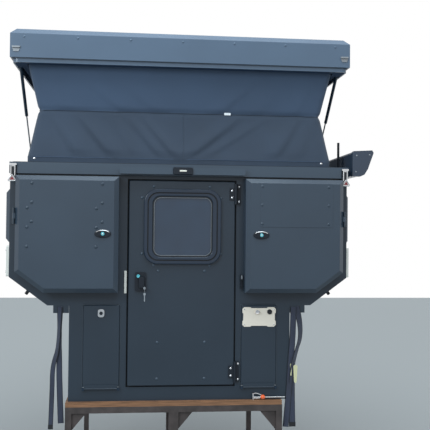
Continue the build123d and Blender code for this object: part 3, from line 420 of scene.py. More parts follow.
def lathe(seat: Seat, profile: Iterable[Pair], sides: int = 20) -> Shape:
    """Turn a profile about the seat's outward direction.

    A point is (r cos a, r sin a, h), with (r, h) from the profile and a round the circle.

    Args:
        seat: Where it stands.
        profile: Radius and height pairs from the seat outwards.
        sides: Spans round the circle.

    Returns:
        The closed shape.
    """
    radius, height = np.array(profile, dtype=float).T
    turn = np.linspace(0.0, 2 * math.pi, sides, endpoint=False)
    rings = np.stack([np.outer(radius, np.cos(turn)), np.outer(radius, np.sin(turn)),
                      np.repeat(height[:, None], sides, axis=1)], axis=-1)
    return Shape(seat.place(rings.reshape(-1, 3)), skin(len(radius), sides))


def heads(seats: list[Seat], radius: float, height: float, sides: int = 14) -> list[Shape]:
    """Domed rivet or bolt heads: (r cos t, h sin t), with t from flat to nearly upright.

    Args:
        seats: Where they stand.
        radius: Radius of each.
        height: Height of each.
        sides: Spans round each.

    Returns:
        The heads.
    """
    t = np.linspace(0.0, 0.94 * math.pi / 2, 5)
    profile = np.stack([radius * np.cos(t), height * np.sin(t)], axis=1)
    return [lathe(seat, profile, sides) for seat in seats]


def prism(seat: Seat, outline: Array, low: float, high: float, ease: float = 0.0) -> Shape:
    """Carry an outline outwards from the seat, with an eased front edge.

    The front ring is drawn in towards the outline's middle by the ease, as a share of its size.

    Args:
        seat: Where it stands.
        outline: Points across and up, anticlockwise.
        low: Start along the outward direction.
        high: End along the outward direction.
        ease: Size of the eased edge.

    Returns:
        The closed shape.
    """
    middle = outline.mean(axis=0)
    half = np.abs(outline - middle).max(axis=0)
    drawn = middle + (outline - middle) * (1 - ease / half)
    rings = [(outline, low), (outline, high - ease)] + ([(drawn, high)] if ease else [])
    return Shape(layers(seat, *rings), skin(len(rings), len(outline)))


def plate(seat: Seat, size: Triple, low: float, high: float, ease: float = 0.0) -> Shape:
    """A prism of a rounded rectangle, from its width, height and corner radius."""
    return prism(seat, rounded(*size), low, high, ease)


def gasket(seat: Seat, outer: Triple, inner: Triple, low: float, high: float,
           steps: int = 6) -> Shape:
    """A flat band between two rounded rectangles, carried outwards from the seat.

    Args:
        seat: Where it stands.
        outer: Width, height and corner radius of its outer outline.
        inner: The same of its inner outline.
        low: Start along the outward direction.
        high: End along the outward direction.
        steps: Spans in each corner.

    Returns:
        The closed shape.
    """
    wide, hole = rounded(*outer, steps), rounded(*inner, steps)
    points = layers(seat, (wide, low), (wide, high), (hole, high), (hole, low))
    faces = [[i % len(points) for i in face] for face in skin(5, len(wide), ends=False)]
    return Shape(points, faces)


def tube(path: Array, radius: float | Array, sides: int = 10,
         across: Triple | None = None) -> Shape:
    """Carry a circle along a path.

    At each point the circle stands across the path's direction, found from its neighbours.

    Args:
        path: Points in metres, n by 3.
        radius: One radius in millimetres, or one for each point.
        sides: Spans round the circle.
        across: A direction that the path never takes, for a path that bends through the upright.

    Returns:
        The closed shape.
    """
    along = np.gradient(path, axis=0)
    along /= np.linalg.norm(along, axis=1, keepdims=True)
    steep = np.abs(along[:, 2:]) > 0.9
    first = np.cross(along, np.where(steep, ALONG_Y, ALONG_Z) if across is None else across)
    first /= np.linalg.norm(first, axis=1, keepdims=True)
    second = np.cross(along, first)
    turn = np.linspace(0.0, 2 * math.pi, sides, endpoint=False)[None, :, None]
    circle = first[:, None, :] * np.cos(turn) + second[:, None, :] * np.sin(turn)
    size = MM * np.broadcast_to(radius, (len(path),))[:, None, None]
    points = (path[:, None, :] + size * circle).reshape(-1, 3)
    return Shape(points, skin(len(path), sides))


@dataclass
class Shell:
    """The fixed body: its panels' paint, the seal on its rail, its stops and its bolts."""

    half_width: float = 0.910
    rail_top: float = DECK + 1.264
    rail_ends: Pair = (-0.030, 2.930)
    slope_x: Pair = (0.708, 0.910)
    slope_z: Pair = (DECK + 0.508, DECK + 0.658)
    stop_x: float = 0.812
    stop_y: float = 0.060

    def build(self) -> None:
        """Dress the shell and add its fittings."""
        paint(PALETTE.body, "side_wall_left", "side_wall_right", "cabover_floor",
              "cabover_front", "front_wall")
        paint(PALETTE.rail, "top_rail")
        # Painted shade: the lower panels, the wing floors and the fittings on them take the darker
        # copy of the body paint.
        paint(PALETTE.low, "rear_wall", "lower_side_walls", "floor_panel", "wing_floors",
              "tiedown_brackets", "lid_hinges")
        paint(PALETTE.ply, "locker_boxes")
        paint(PALETTE.pale, "jack_brackets")
        paint(PALETTE.black, "strut_feet")
        self.rail_seal()
        self.stops()
        self.bolts()

    def rail_seal(self) -> None:
        """A foam bead along the top of the rail, which the roof's lip comes down on."""
        seat = Seat((0.0, sum(self.rail_ends) / 2, self.rail_top), ALONG_Z, ALONG_Y)
        width, length = 2 * self.half_width / MM, (self.rail_ends[1] - self.rail_ends[0]) / MM
        piece("rail_seal", "camper", PALETTE.rubber, gasket(
            seat, (width - 16, length - 40, 26), (width - 36, length - 60, 16), 0.0, 3.5))

    def stops(self) -> None:
        """Rubber stops that stand square out of the sloping undersides."""
        rise = (self.slope_z[1] - self.slope_z[0]) / (self.slope_x[1] - self.slope_x[0])
        slant = math.hypot(rise, 1.0)
        height = self.slope_z[0] + (self.stop_x - self.slope_x[0]) * rise
        profile = ((13, 0), (13, 5), (9, 6), (9, 26), (7, 28))
        piece("wing_stops", "camper", PALETTE.rubber, *[
            lathe(Seat((side * self.stop_x, self.stop_y, height),
                       (side * rise / slant, 0.0, -1 / slant),
                       (1 / slant, 0.0, side * rise / slant)), profile)
            for side in HANDS])

    @staticmethod
    def bolts() -> None:
        """Hexagon bolts with washers on the jack brackets."""
        low, high, middle = box("jack_brackets")
        seats = [Seat((side * high[0], y, middle[2] + lift), (side, 0, 0)) for side in HANDS
                 for y in (low[1] + 0.042, high[1] - 0.042) for lift in (-0.058, 0.058)]
        washer, head = ((12, 0), (12, 1.6), (6, 1.8)), ((9, 1.5), (9, 7), (7.6, 8))
        piece("bracket_bolts", "camper", PALETTE.steel, *[
            lathe(seat, profile, sides) for seat in seats
            for profile, sides in ((washer, 18), (head, 6))])


@dataclass
class Roof:
    """The lifting roof with its rivets, and the line where its wall meets its lip."""

    rivet_z: float = DECK + 1.928
    rivet_x: tuple[float, ...] = (-0.845, -0.565, -0.285, -0.005, 0.275, 0.555, 0.835)
    side_rivets: int = 10
    corner_gap: float = 0.120
    joint_z: float = DECK + 1.818

    def build(self) -> None:
        """Dress the roof and add its fittings."""
        paint(PALETTE.roof, "roof_shell")
        paint(PALETTE.track, "canvas_track", "strut_roof_brackets")
        paint(PALETTE.dull, "roof_keepers", "rear_strut_rods", "front_strut_rods")
        paint(PALETTE.strut, "rear_strut_cylinders", "front_strut_cylinders")
        low, high, middle = box("roof_shell")
        seats = [Seat((x, y, self.rivet_z), (0, end, 0))
                 for end, y in ((-1, low[1]), (1, high[1])) for x in self.rivet_x]
        for y in np.linspace(low[1] + self.corner_gap, high[1] - self.corner_gap,
                             self.side_rivets):
            seats += [Seat((side * high[0], y, self.rivet_z), (side, 0, 0)) for side in HANDS]
        piece("roof_rivets", "roof", PALETTE.roof, *heads(seats, 6.5, 3))
        width, length = 2 * high[0] / MM, (high[1] - low[1]) / MM
        piece("lip_joint", "roof", PALETTE.rail, gasket(
            Seat((0.0, middle[1], self.joint_z), DOWN, ALONG_Y),
            (width - 14, length - 14, 26), (width - 26, length - 26, 22), -0.5, 4))


@dataclass
class Canvas:
    """The cloth skirt between the rail and the roof, drawn in at its fold line.

    A fold's row is its foot along the wall, its lean, its width on the crisp and on the soft
    side, and its depth in millimetres.
    """

    half: float = 0.838
    ends: Pair = (0.040, 2.860)
    foot: float = DECK + 1.2645
    band: float = DECK + 1.300
    fold: float = DECK + 1.560
    lip: float = DECK + 1.794
    top: float = DECK + 1.943
    rows: tuple[int, ...] = (6, 36, 24, 6)
    columns: int = 640
    seam_columns: int = 240
    draw: float = 0.007
    pinch: float = 0.058
    tuck: float = 0.005
    corner: float = 0.030
    corner_fade: float = 0.100
    crease: float = 6.0 * MM
    crease_reach: float = 0.020
    ripple: float = 2.6 * MM
    thick: float = 1.6 * MM
    folded: float = 0.228
    low_folds: tuple[tuple[float, ...], ...] = (
        (-0.560, -0.60, 0.020, 0.085, 11.0), (-0.375, -0.78, 0.018, 0.085, 17.0),
        (-0.250, -0.55, 0.022, 0.065, 9.0), (-0.110, -0.80, 0.016, 0.065, 13.0),
        (-0.030, -0.80, 0.012, 0.050, 14.0), (0.020, 1.22, 0.026, 0.085, 12.0),
        (0.110, 1.50, 0.024, 0.050, 5.0), (0.505, 0.60, 0.020, 0.080, 11.0),
        (0.640, 0.36, 0.026, 0.060, 6.0))
    high_folds: tuple[tuple[float, ...], ...] = (
        (-0.633, -0.80, 0.030, 0.080, 4.5), (-0.312, -1.30, 0.026, 0.090, 6.0),
        (-0.135, -1.10, 0.026, 0.060, 4.5), (0.198, 1.10, 0.026, 0.080, 6.0),
        (0.420, 0.70, 0.030, 0.070, 3.5), (0.630, 0.45, 0.026, 0.060, 5.0))

    @property
    def marks(self) -> tuple[float, ...]:
        """The heights between which the cloth runs straight, but for its folds."""
        return self.foot, self.band, self.fold, self.lip, self.top

    @property
    def length(self) -> float:
        """Distance between the end walls."""
        return self.ends[1] - self.ends[0]

    def inset(self, height: Array) -> Array:
        """How far the cloth is drawn in at each height, linear between the marks."""
        return np.interp(height, self.marks,
                         [self.draw, self.draw, self.pinch, self.tuck, self.tuck])

    def loop(self, inset: Array, count: int) -> tuple[Array, Array, Array]:
        """Points and outward directions round the camper at each inset.

        The loop is a rectangle with rounded corners whose sides come in by the inset.

        Args:
            inset: Draw-in of each row.
            count: Points round the loop.

        Returns:
            X and Y for each row and column, the outward direction, and the distance round.
        """
        straight = np.array([self.half, self.length / 2]) - self.corner
        arc = self.corner * math.pi / 2
        ends = np.cumsum([0.0] + [2 * straight[0], arc, 2 * straight[1], arc] * 2)
        run = np.linspace(0.0, ends[-1], count, endpoint=False)
        turn = np.interp(run, ends, np.radians([-90, -90, 0, 0, 90, 90, 180, 180, 270]))
        out = np.stack([np.cos(turn), np.sin(turn)], axis=-1)
        signs = np.stack([np.interp(run, ends, [-1, 1, 1, 1, 1, -1, -1, -1, -1]),
                          np.interp(run, ends, [-1, -1, -1, 1, 1, 1, 1, -1, -1])], axis=-1)
        place = signs * (straight - inset[:, None, None]) + self.corner * out
        return place + np.array([0.0, sum(self.ends) / 2]), out, run

    def folds(self, x: Array, height: Array, reach: Array) -> Array:
        """Depth of the loose folds in metres, at a distance along a wall and a height.

        The folds are leaning ridges under and over the fold line, with a product of two sines
        between them. They fade to nothing at the rail, at the fold line and at the roof.

        Args:
            x: Distance along the wall from its middle.
            height: Heights of the same shape.
            reach: Half length of the wall at each place.

        Returns:
            The offset outwards.
        """
        low_share = np.clip((height - self.band) / (self.fold - self.band), 0.03, 1.0)
        high_share = np.clip((height - self.fold) / (self.lip - self.fold), 0.0, 1.0)
        below = np.where(height < self.fold, np.sin(math.pi * low_share ** 0.75) ** 0.6, 0.0)
        below *= np.clip((height - self.foot - 0.020) / 0.060, 0.0, 1.0)
        above = np.where(height >= self.fold,
                         (1 - high_share) ** 0.9 * np.minimum(high_share * 9.0, 1.0), 0.0)
        spread = reach / self.half
        depth = self.ridges(self.low_folds, x, height - self.band, spread) * below
        depth += self.ridges(self.high_folds, x, height - self.fold, spread) * above
        soft = np.sin(7.1 * x + 9.0 * height) * np.sin(3.3 * x - 5.0 * height + 1.0)
        return depth + self.ripple * soft * (below + 0.7 * above)

    @staticmethod
    def ridges(table: tuple[tuple[float, ...], ...], x: Array, rise: Array,
               spread: Array) -> Array:
        """Sum of leaning ridges.

        Each is its depth times exp(-(d / w)^2), where d is the distance from a line that leans
        away from the wall's middle, and w is smaller on the fold's lower side.

        Args:
            table: The folds' rows.
            x: Distance along the wall from its middle.
            rise: Height above the feet.
            spread: Stretch of the pattern along the wall.

        Returns:
            Their height, of the same shape as x.
        """
        total = np.zeros_like(x)
        for foot, lean, crisp, soft, deep in table:
            off = x - foot * spread - lean * rise
            total += deep * MM * np.exp(-((off / np.where(off * lean > 0, crisp, soft)) ** 2))
        return total

    def cloth(self) -> bpy.types.Object:
        """The skirt as one sheet, carried round the camper.

        Returns:
            The cloth.
        """
        height = np.unique(np.concatenate([
            np.linspace(*span) for span in zip(self.marks, self.marks[1:], self.rows)]))
        place, out, run = self.loop(self.inset(height), self.columns)
        on_side = np.abs(out[:, 0]) > 0.7071
        x = np.where(on_side, place[..., 1] - sum(self.ends) / 2, place[..., 0])
        reach = np.broadcast_to(np.where(on_side, self.length / 2, self.half), x.shape)
        z = np.repeat(height[:, None], self.columns, axis=1)
        depth = self.folds(x, z, reach)
        depth *= np.clip((reach - np.abs(x)) / self.corner_fade, 0.0, 1.0)
        depth -= self.crease * np.clip(1 - np.abs((z - self.fold) / self.crease_reach), 0.0, 1.0)
        points = np.concatenate([place + depth[..., None] * out, z[..., None]], axis=-1)
        uv = np.stack([np.broadcast_to(run, x.shape), z], axis=-1)
        sheet = Shape(points.reshape(-1, 3), skin(len(height), self.columns, ends=False),
                      uv.reshape(-1, 2))
        obj = piece("canvas_skirt", "camper", PALETTE.canvas, sheet, smooth=60.0)
        obj.data.materials.append(PALETTE.skirt.material())
        centre = np.zeros(3 * len(obj.data.polygons))
        obj.data.polygons.foreach_get("center", centre)
        obj.data.polygons.foreach_set("material_index",
                                      (centre[2::3] < self.fold).astype(np.int32))
        solid = obj.modifiers.new("cloth thickness", "SOLIDIFY")
        solid.thickness = self.thick
        solid.offset = 0.0
        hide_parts("canvas")
        return obj

    def hoop(self, height: float, proud: float, radius: float) -> Shape:
        """A cord sewn round the skirt.

        Args:
            height: Its height.
            proud: How far it stands out of the cloth's line.
            radius: Its radius in millimetres.

        Returns:
            The closed shape.
        """
        place, out, _ = self.loop(self.inset(np.array([height])), self.seam_columns)
        ring = np.column_stack([place[0] + proud * out, np.full(len(out), height)])
        return tube(np.vstack([ring, ring[:1]]), radius, 6)

    def trims(self) -> list[bpy.types.Object]:
        """The seams, the hem along the rail, the corner studs and a blank tape.

        Returns:
            The four pieces.
        """
        z = np.linspace(self.band, self.fold - 4 * MM, 14)
        x = np.full_like(z, 7 * MM)
        y = (self.ends[0] + self.inset(z) - 1.6 * MM
             - self.folds(x, z, np.full_like(z, self.half)))
        studs = on_rear(self.ends[0] + self.draw - 1.0 * MM, ((-0.793, 1.290), (0.776, 1.290)))
        tape = Seat((0.253, self.ends[0] + self.pinch - 1.5 * MM, self.fold + 2 * MM))
        return [
            piece("canvas_seams", "camper", PALETTE.skirt, self.hoop(self.fold, -2 * MM, 2.4),
                  tube(np.column_stack([x, y, z]), 1.3, 6)),
            piece("canvas_hem", "camper", PALETTE.canvas,
                  self.hoop(self.foot + 3 * MM, 3.5 * MM, 2.6),
                  self.hoop(self.band, 1.5 * MM, 1.2)),
            piece("canvas_studs", "camper", PALETTE.chrome, *heads(studs, 7, 3.4)),
            piece("canvas_tape", "camper", PALETTE.white, plate(tape, (36, 13, 2), 0.0, 2.2)),
        ]

    def build(self) -> None:
        """Make the skirt and its trims, each with a mesh of its own."""
        cloth, parts = self.cloth(), self.trims()
        for soft in [cloth] + parts:
            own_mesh(soft)


@dataclass
class Handed:
    """A sub-assembly that stands on the left (-1) or on the right (1)."""

    side: int

    @property
    def hand(self) -> str:
        """The side's name."""
        return HANDS[self.side]


@dataclass
class CornerLocker(Handed):
    """One rear corner locker's lid: its paint, its rivets, its latch and its plate."""

    face: float = -0.100
    columns: Pair = (0.422, 0.783)
    rows: tuple[float, ...] = (1.150, 1.051, 0.951)
    odd_columns: Pair = (0.806, 0.452)
    odd_rows: tuple[float, ...] = (1.022, 0.922, 0.822)
    latch: Pair = (0.418, DECK + 0.890)

    def build(self) -> None:
        """Dress the lid and add its fasteners, its latch's trim and its plate."""
        body = f"locker_lid_{self.hand}"
        paint(PALETTE.body, body)
        paint(PALETTE.black, f"locker_latch_{self.hand}")
        places = list(product(self.columns, self.rows))
        if self.side < 0:
            places += [(x, z) for z, x in product(self.odd_rows, self.odd_columns)]
        rivets = on_rear(self.face, [(self.side * x, z) for x, z in places])
        piece(f"lid_rivets_{self.hand}", body, PALETTE.body, *heads(rivets, 8.5, 4.4, 20))
        self.latch_trim(body)
        if self.side > 0:
            cover = plate(Seat((0.6105, self.face, DECK + 1.0505)), (393, 235, 6), -0.2, 1.6, 0.8)
            piece("lid_cover_plate", body, PALETTE.body, cover)

    def latch_trim(self, body: str) -> None:
        """A bright brow over the oval latch, which is a painted highlight on its upper rim, and
        the lock cylinder in its middle.

        The brow follows (a cos t, b sin t) over the latch's upper rim.

        Args:
            body: The lid that carries it.
        """
        x, z = self.side * self.latch[0], self.latch[1]
        t = np.radians(np.linspace(28, 152, 26))
        # Painted highlight: a bright steel arc along the upper rim only, thickest at the top.
        brow = np.column_stack([x + 38 * MM * np.cos(t), np.full_like(t, self.face - 7.6 * MM),
                                z + 17.5 * MM * np.sin(t)])
        piece(f"latch_rim_highlight_{self.hand}", body, PALETTE.steel,
              tube(brow, 3.0 * np.sin(t) ** 0.5, 10, ALONG_Y))
        # The lock's teal tint is a painted reflection of the sky.
        seat = Seat((x, self.face - 7.3 * MM, z))
        piece(f"latch_lock_{self.hand}", body, PALETTE.cap,
              lathe(seat, ((9.5, 0), (9.5, 4), (8.2, 5.4), (3.0, 5.0), (2.4, 3.5)), 24))
        piece(f"latch_core_{self.hand}", body, PALETTE.lens,
              lathe(seat, ((3.6, 4.0), (3.6, 6.0), (2.6, 6.8)), 16))


@dataclass
class Door:
    """The entrance door with its window, its lock, its hinges and its seal."""

    x: Pair = (-0.284, 0.287)
    z: Pair = (DECK + 0.081, DECK + 1.177)
    face: float = -0.012
    leaf_thick: float = 5.3 * MM
    rivets: tuple[Pair, ...] = (
        (-0.152, 1.147), (0.149, 1.148), (-0.215, 1.086), (0.210, 1.087), (-0.213, 0.785),
        (0.210, 0.786), (-0.150, 0.725), (-0.126, 0.694), (0.151, 0.723), (0.124, 0.694),
        (-0.127, 0.312), (0.127, 0.312), (-0.127, 0.118), (0.127, 0.118))
    leaf_screws: tuple[Pair, ...] = (
        (0.270, 1.129), (0.270, 1.091), (0.270, 0.171), (0.270, 0.132))
    wall_screws: tuple[Pair, ...] = (
        (0.310, 1.151), (0.310, 1.069), (0.310, 0.193), (0.310, 0.110))
    cylinder: Pair = (-0.231, DECK + 0.666)
    key: Pair = (-0.197, DECK + 0.602)

    def build(self) -> None:
        """Dress the door and add its fittings."""
        # Painted shade: the door takes the darker copy of the body paint.
        paint(PALETTE.low, "door_panel")
        paint(PALETTE.frame, "door_window_frame")
        paint(PALETTE.glass, "door_window_pane")
        paint(PALETTE.black, "door_lock", "door_hinge_leaves", "wall_hinge_leaves", "door_catch")
        paint(PALETTE.pale, "door_strike")
        piece("door_rivets", "door", PALETTE.rail,
              *heads(on_rear(self.face, self.rivets), 7.5, 3.6, 18))
        piece("door_hinge_screws", "door", PALETTE.chrome,
              *heads(on_rear(self.face - self.leaf_thick, self.leaf_screws), 6.5, 3.6))
        piece("wall_hinge_screws", "camper", PALETTE.chrome,
              *heads(on_rear(-self.leaf_thick, self.wall_screws), 6.5, 3.6))
        low, high, middle = box("door_catch")
        cap = plate(Seat((middle[0], low[1], high[2] - 13 * MM)),
                    ((high[0] - low[0]) / MM - 6, 20, 4), -0.3, 2.4, 1)
        piece("catch_cap", "camper", PALETTE.dull, cap)
        self.seal()
        self.window_beads()
        self.key_set()

    def seal(self) -> None:
        """Rubber seal set back in the gap round the door."""
        width, height = (self.x[1] - self.x[0]) / MM, (self.z[1] - self.z[0]) / MM
        seat = Seat((sum(self.x) / 2, 20 * MM, sum(self.z) / 2))
        piece("door_seal", "camper", PALETTE.rubber, gasket(
            seat, (width + 15.6, height + 15.6, 3), (width + 6, height + 6, 9), 0.0, 9))

    @staticmethod
    def window_beads() -> None:
        """Rubber bead and groove round the pane, and a bright metal ring on the pane's edge as a
        painted highlight.
        """
        low, _, middle = box("door_window_frame")
        seat = Seat((middle[0], low[1] + 2.0 * MM, middle[2]))
        piece("window_bead", "door", PALETTE.rubber,
              gasket(seat, (321.6, 324.6, 43), (308.0, 311.0, 37), -11, -2, 10))
        piece("window_groove", "door", PALETTE.rubber,
              gasket(seat, (379.0, 368.0, 60), (365.0, 354.0, 53), -5.6, -2.6, 10))
        # Painted highlight: a bright ring round the pane's edge.
        line = layers(seat, (rounded(306, 309, 36, 10), -2.6))
        piece("pane_highlight_ring", "door", PALETTE.dull,
              tube(np.vstack([line, line[:1]]), 1.3, 6, ALONG_Y))

    def key_set(self) -> None:
        """Lock cylinder, key and the ring with a second key that hangs from it."""
        cylinder = Seat((self.cylinder[0], self.face - 17.8 * MM, self.cylinder[1]))
        # The cylinder's teal tint is a painted reflection of the sky.
        piece("lock_cylinder", "door", PALETTE.cap,
              lathe(cylinder, ((9, 0), (9, 2), (7.5, 3), (3, 2.6), (2, 1.4)), 24))
        (x, z), y = self.key, self.face - 26.8 * MM
        t = np.linspace(0.0, 2 * math.pi, 22)
        ring = np.column_stack([np.full_like(t, x), y - 17 * MM + 8 * MM * np.sin(t),
                                z - 12 * MM + 10 * MM * np.cos(t)])
        askew = (0.34, 0.94, 0.0)
        piece("door_keys", "door", PALETTE.dull,
              lathe(Seat((x, y, z)), ((7, 0), (7, 3), (5.6, 4)), 18),
              plate(Seat((x, y - 12 * MM, z), ALONG_X), (17, 14, 6), -1.1, 1.1),
              tube(ring, 0.9, 6, ALONG_X),
              plate(Seat((x, y - 18 * MM, z - 29 * MM), askew), (12, 15, 5), -1.0, 1.0),
              plate(Seat((x, y - 18 * MM, z - 52 * MM), askew), (5, 32, 1), -0.9, 0.9))


@dataclass
class LowerHatch(Handed):
    """One hatch beside the door, hinged along its bottom edge."""

    x: Pair = (0.327, 0.519)
    z: Pair = (DECK + 0.074, DECK + 0.510)
    face: float = -0.008
    screws: tuple[Pair, Pair] = ((0.343, 0.505), (0.405, 0.487))
    fitting_z: float = DECK + 0.474

    def build(self) -> None:
        """Dress the hatch and add its bright hinge strip, its seal and its fittings."""
        body = f"hatch_{self.hand}"
        # Painted shade: the hatch takes the darker copy of the body paint.
        paint(PALETTE.low, body)
        middle = self.side * sum(self.x) / 2
        width, height = (self.x[1] - self.x[0]) / MM, (self.z[1] - self.z[0]) / MM
        strip = Seat((middle, self.face, self.z[0] + 2.4 * MM))
        piece(f"hatch_strip_{self.hand}", body, PALETTE.dull,
              plate(strip, (width, 3.4, 1), -0.5, 1.2))
        piece(f"hatch_seal_{self.hand}", "camper", PALETTE.seal, gasket(
            Seat((middle, 9 * MM, sum(self.z) / 2)), (width + 9.6, height + 9.6, 3),
            (width + 3.2, height + 3.2, 7), 0.0, 10))
        if self.side < 0:
            paint(PALETTE.chrome, "hatch_ring_latch")
            core = Seat((middle - 2 * MM, self.face - 8.3 * MM, DECK + 0.468))
            piece("ring_latch_core", body, PALETTE.black,
                  lathe(core, ((9.4, -4), (9.4, 0.4), (6, 0.9))))
        else:
            paint(PALETTE.cream, "hatch_plate")
            self.plate_fittings(body)

    def plate_fittings(self, body: str) -> None:
        """Lock cylinder and filler socket on the cream plate, with four corner screws.

        Args:
            body: The hatch that carries them.
        """
        y = self.face - 4.3 * MM
        piece("plate_lock", body, PALETTE.chrome,
              lathe(Seat((0.413, y, self.fitting_z)),
                    ((12, 0), (12, 6), (10.5, 9.4), (4, 9.0), (3.2, 7.5)), 24),
              plate(Seat((0.413, y - 9 * MM, self.fitting_z)), (26, 7, 3), 0.0, 6, 1))
        piece("plate_socket", body, PALETTE.rubber,
              lathe(Seat((0.481, y, self.fitting_z)),
                    ((13.4, 0), (13.4, 4.4), (11.4, 5.0), (10.0, 3.8), (0.4, 3.6)), 24))
        piece("plate_screws", body, PALETTE.steel,
              *heads(on_rear(y, product(*self.screws)), 4, 1.8))


@dataclass
class Sides:
    """The side hatches, the side windows and the awning."""

    lock_inset: float = 0.085
    lock_rise: float = 0.060
    ribs: tuple[Pair, ...] = (
        (0.958, 1.3575), (0.985, 1.359), (1.012, 1.361), (1.036, 1.363))
    awning_screws: tuple[Pair, ...] = ((0.962, 1.245), (0.966, 1.335), (1.040, 1.340))

    def build(self) -> None:
        """Dress both sides."""
        paint(PALETTE.dull, "side_hatch_hinges")
        paint(PALETTE.black, "side_window_frames", "awning_brackets")
        paint(PALETTE.glass, "side_window_panes")
        for side in HANDS:
            self.hatch(side)
        self.window_beads()
        self.awning()

    def hatch(self, side: int) -> None:
        """A side hatch's paint, and two recessed compression locks near its lower edge.

        Args:
            side: 1 for the right-hand wall, -1 for the left.
        """
        body = f"side_hatch_{HANDS[side]}"
        paint(PALETTE.body, body)
        low, high, _ = box(body)
        face = max(abs(low[0]), abs(high[0]))
        profile = ((13, 0), (13, 2.5), (11.5, 4), (4, 4), (3, 2.4))
        piece(f"side_hatch_locks_{HANDS[side]}", body, PALETTE.chrome, *[
            lathe(Seat((side * face, y, low[2] + self.lock_rise), (side, 0, 0)), profile, 24)
            for y in (low[1] + self.lock_inset, high[1] - self.lock_inset)])

    @staticmethod
    def window_beads() -> None:
        """Rubber beads between the side windows' frames and panes."""
        low, high, middle = box("side_window_panes")
        width, height = (high[1] - low[1]) / MM, (high[2] - low[2]) / MM
        piece("side_window_beads", "camper", PALETTE.rubber, *[
            gasket(Seat((side * high[0], middle[1], middle[2]), (side, 0, 0)),
                   (width - 2, height - 2, 69), (width - 60, height - 60, 40), 0.2, 3.5, 10)
            for side in HANDS])

    def awning(self) -> None:
        """Paint the cassette and add its long ribs and end screws."""
        paint(PALETTE.awning, "awning_cassette")
        low, high, _ = box("awning_cassette")
        ends = (low[1] + 36 * MM, high[1] - 36 * MM)
        piece("awning_ribs", "camper", PALETTE.awning, *[
            tube(np.array([[x, y, DECK + z] for y in ends]), 2.4, 8) for x, z in self.ribs])
        piece("awning_screws", "camper", PALETTE.dull,
              *heads(on_rear(low[1], self.awning_screws), 4.5, 2))


@dataclass
class Fittings:
    """The toggle latches' handles, the porch lamp and the hold-down screw."""

    toggle_x: float = 0.889
    handle_back: float = 3.6 * MM
    handle_out: float = 4 * MM
    rim_radius: float = 4.5
    rim: tuple[tuple[Pair, Pair], ...] = (
        ((14.5, 1167.5), (-90, 34)), ((0.0, 1189.0), (34, 146)), ((-14.5, 1167.5), (146, 270)))
    inlay: tuple[Pair, ...] = ((-13.0, 1168.0), (13.0, 1168.0), (0.0, 1187.5))
    rod_heights: tuple[float, ...] = (1.190, 1.222, 1.247)
    hook: tuple[Pair, ...] = (
        (45, 25), (30, 32), (14, 36), (2, 33), (-1, 20), (2, 8), (20, 7), (40, 9))

    def build(self) -> None:
        """Dress the small fittings."""
        paint(PALETTE.black, "entry_lamp", "toggle_bases")
        paint(PALETTE.steel, "holddown_screw", "toggle_latches")
        paint(PALETTE.frame, "hatch_hinge_blocks")
        low, _, middle = box("entry_lamp")
        piece("lamp_window", "camper", PALETTE.lens,
              plate(Seat((0.0, low[1] + 0.6 * MM, middle[2])), (38, 8, 3), -0.4, 2.4, 1.0))
        self.toggles()
        self.hold_down()

    def toggles(self) -> None:
        """Two bright rods up each toggle over a dark slot, and its three-sided handle.

        The handle's rim is a bar bent round a triangle with rounded corners: an arc round each
        corner, from the outward angle of one edge to that of the next.
        """
        rim = []
        for corner, angles in self.rim:
            t = np.radians(np.linspace(*angles, 7))
            rim += [corner + self.rim_radius * np.stack([np.cos(t), np.sin(t)], axis=-1)]
        rim = MM * np.vstack(rim + [rim[0][:1]])
        rods, slots, inlays = [], [], []
        low, high, _ = box("toggle_latches")
        for end, y in ((-1, low[1] + self.handle_back), (1, high[1] - self.handle_back)):
            for side in HANDS:
                x = side * self.toggle_x
                handle_x = x + side * self.handle_out
                for rod_x in (x - 10 * MM, x + 10 * MM):
                    rod = np.array([[rod_x, y, DECK + z] for z in self.rod_heights])
                    rods.append(tube(rod, 3.2, 8))
                bar = np.column_stack([handle_x + rim[:, 0], np.full(len(rim), y + end * 1.2 * MM),
                                       DECK + rim[:, 1]])
                rods.append(tube(bar, 3.0, 8, ALONG_Y))
                facing = (0, end, 0)
                inlays.append(prism(Seat((handle_x, y, DECK), facing), np.array(self.inlay),
                                    -0.3, 1.4))
                slots.append(plate(Seat((x, y, DECK + 1.218), facing), (13, 42, 1), -3.4, 0.6))
        piece("toggle_rods", "camper", PALETTE.steel, *rods)
        piece("toggle_slots", "camper", PALETTE.rubber, *slots)
        piece("toggle_inlays", "camper", PALETTE.red, *inlays)

    def hold_down(self) -> None:
        """Orange collar and bent hook of the screw that lies on the deck's ledge."""
        low, _, middle = box("holddown_screw")
        bend = MM * np.array(self.hook)
        hook = np.column_stack([low[0] + 4 * MM + bend[:, 0], np.full(len(bend), middle[1]),
                                DECK + bend[:, 1]])
        piece("holddown_hook", "camper", PALETTE.steel, tube(hook, 3.0, 8, ALONG_Y))
        t = np.linspace(-0.46 * math.pi, 0.46 * math.pi, 9)
        ball = 13.4 * np.column_stack([np.cos(t), np.sin(t)])
        seat = Seat((0.447, middle[1], DECK + 13.6 * MM), (-1.0, 0.0, 0.0), ALONG_Y)
        piece("holddown_collar", "camper", PALETTE.orange, lathe(seat, ball))


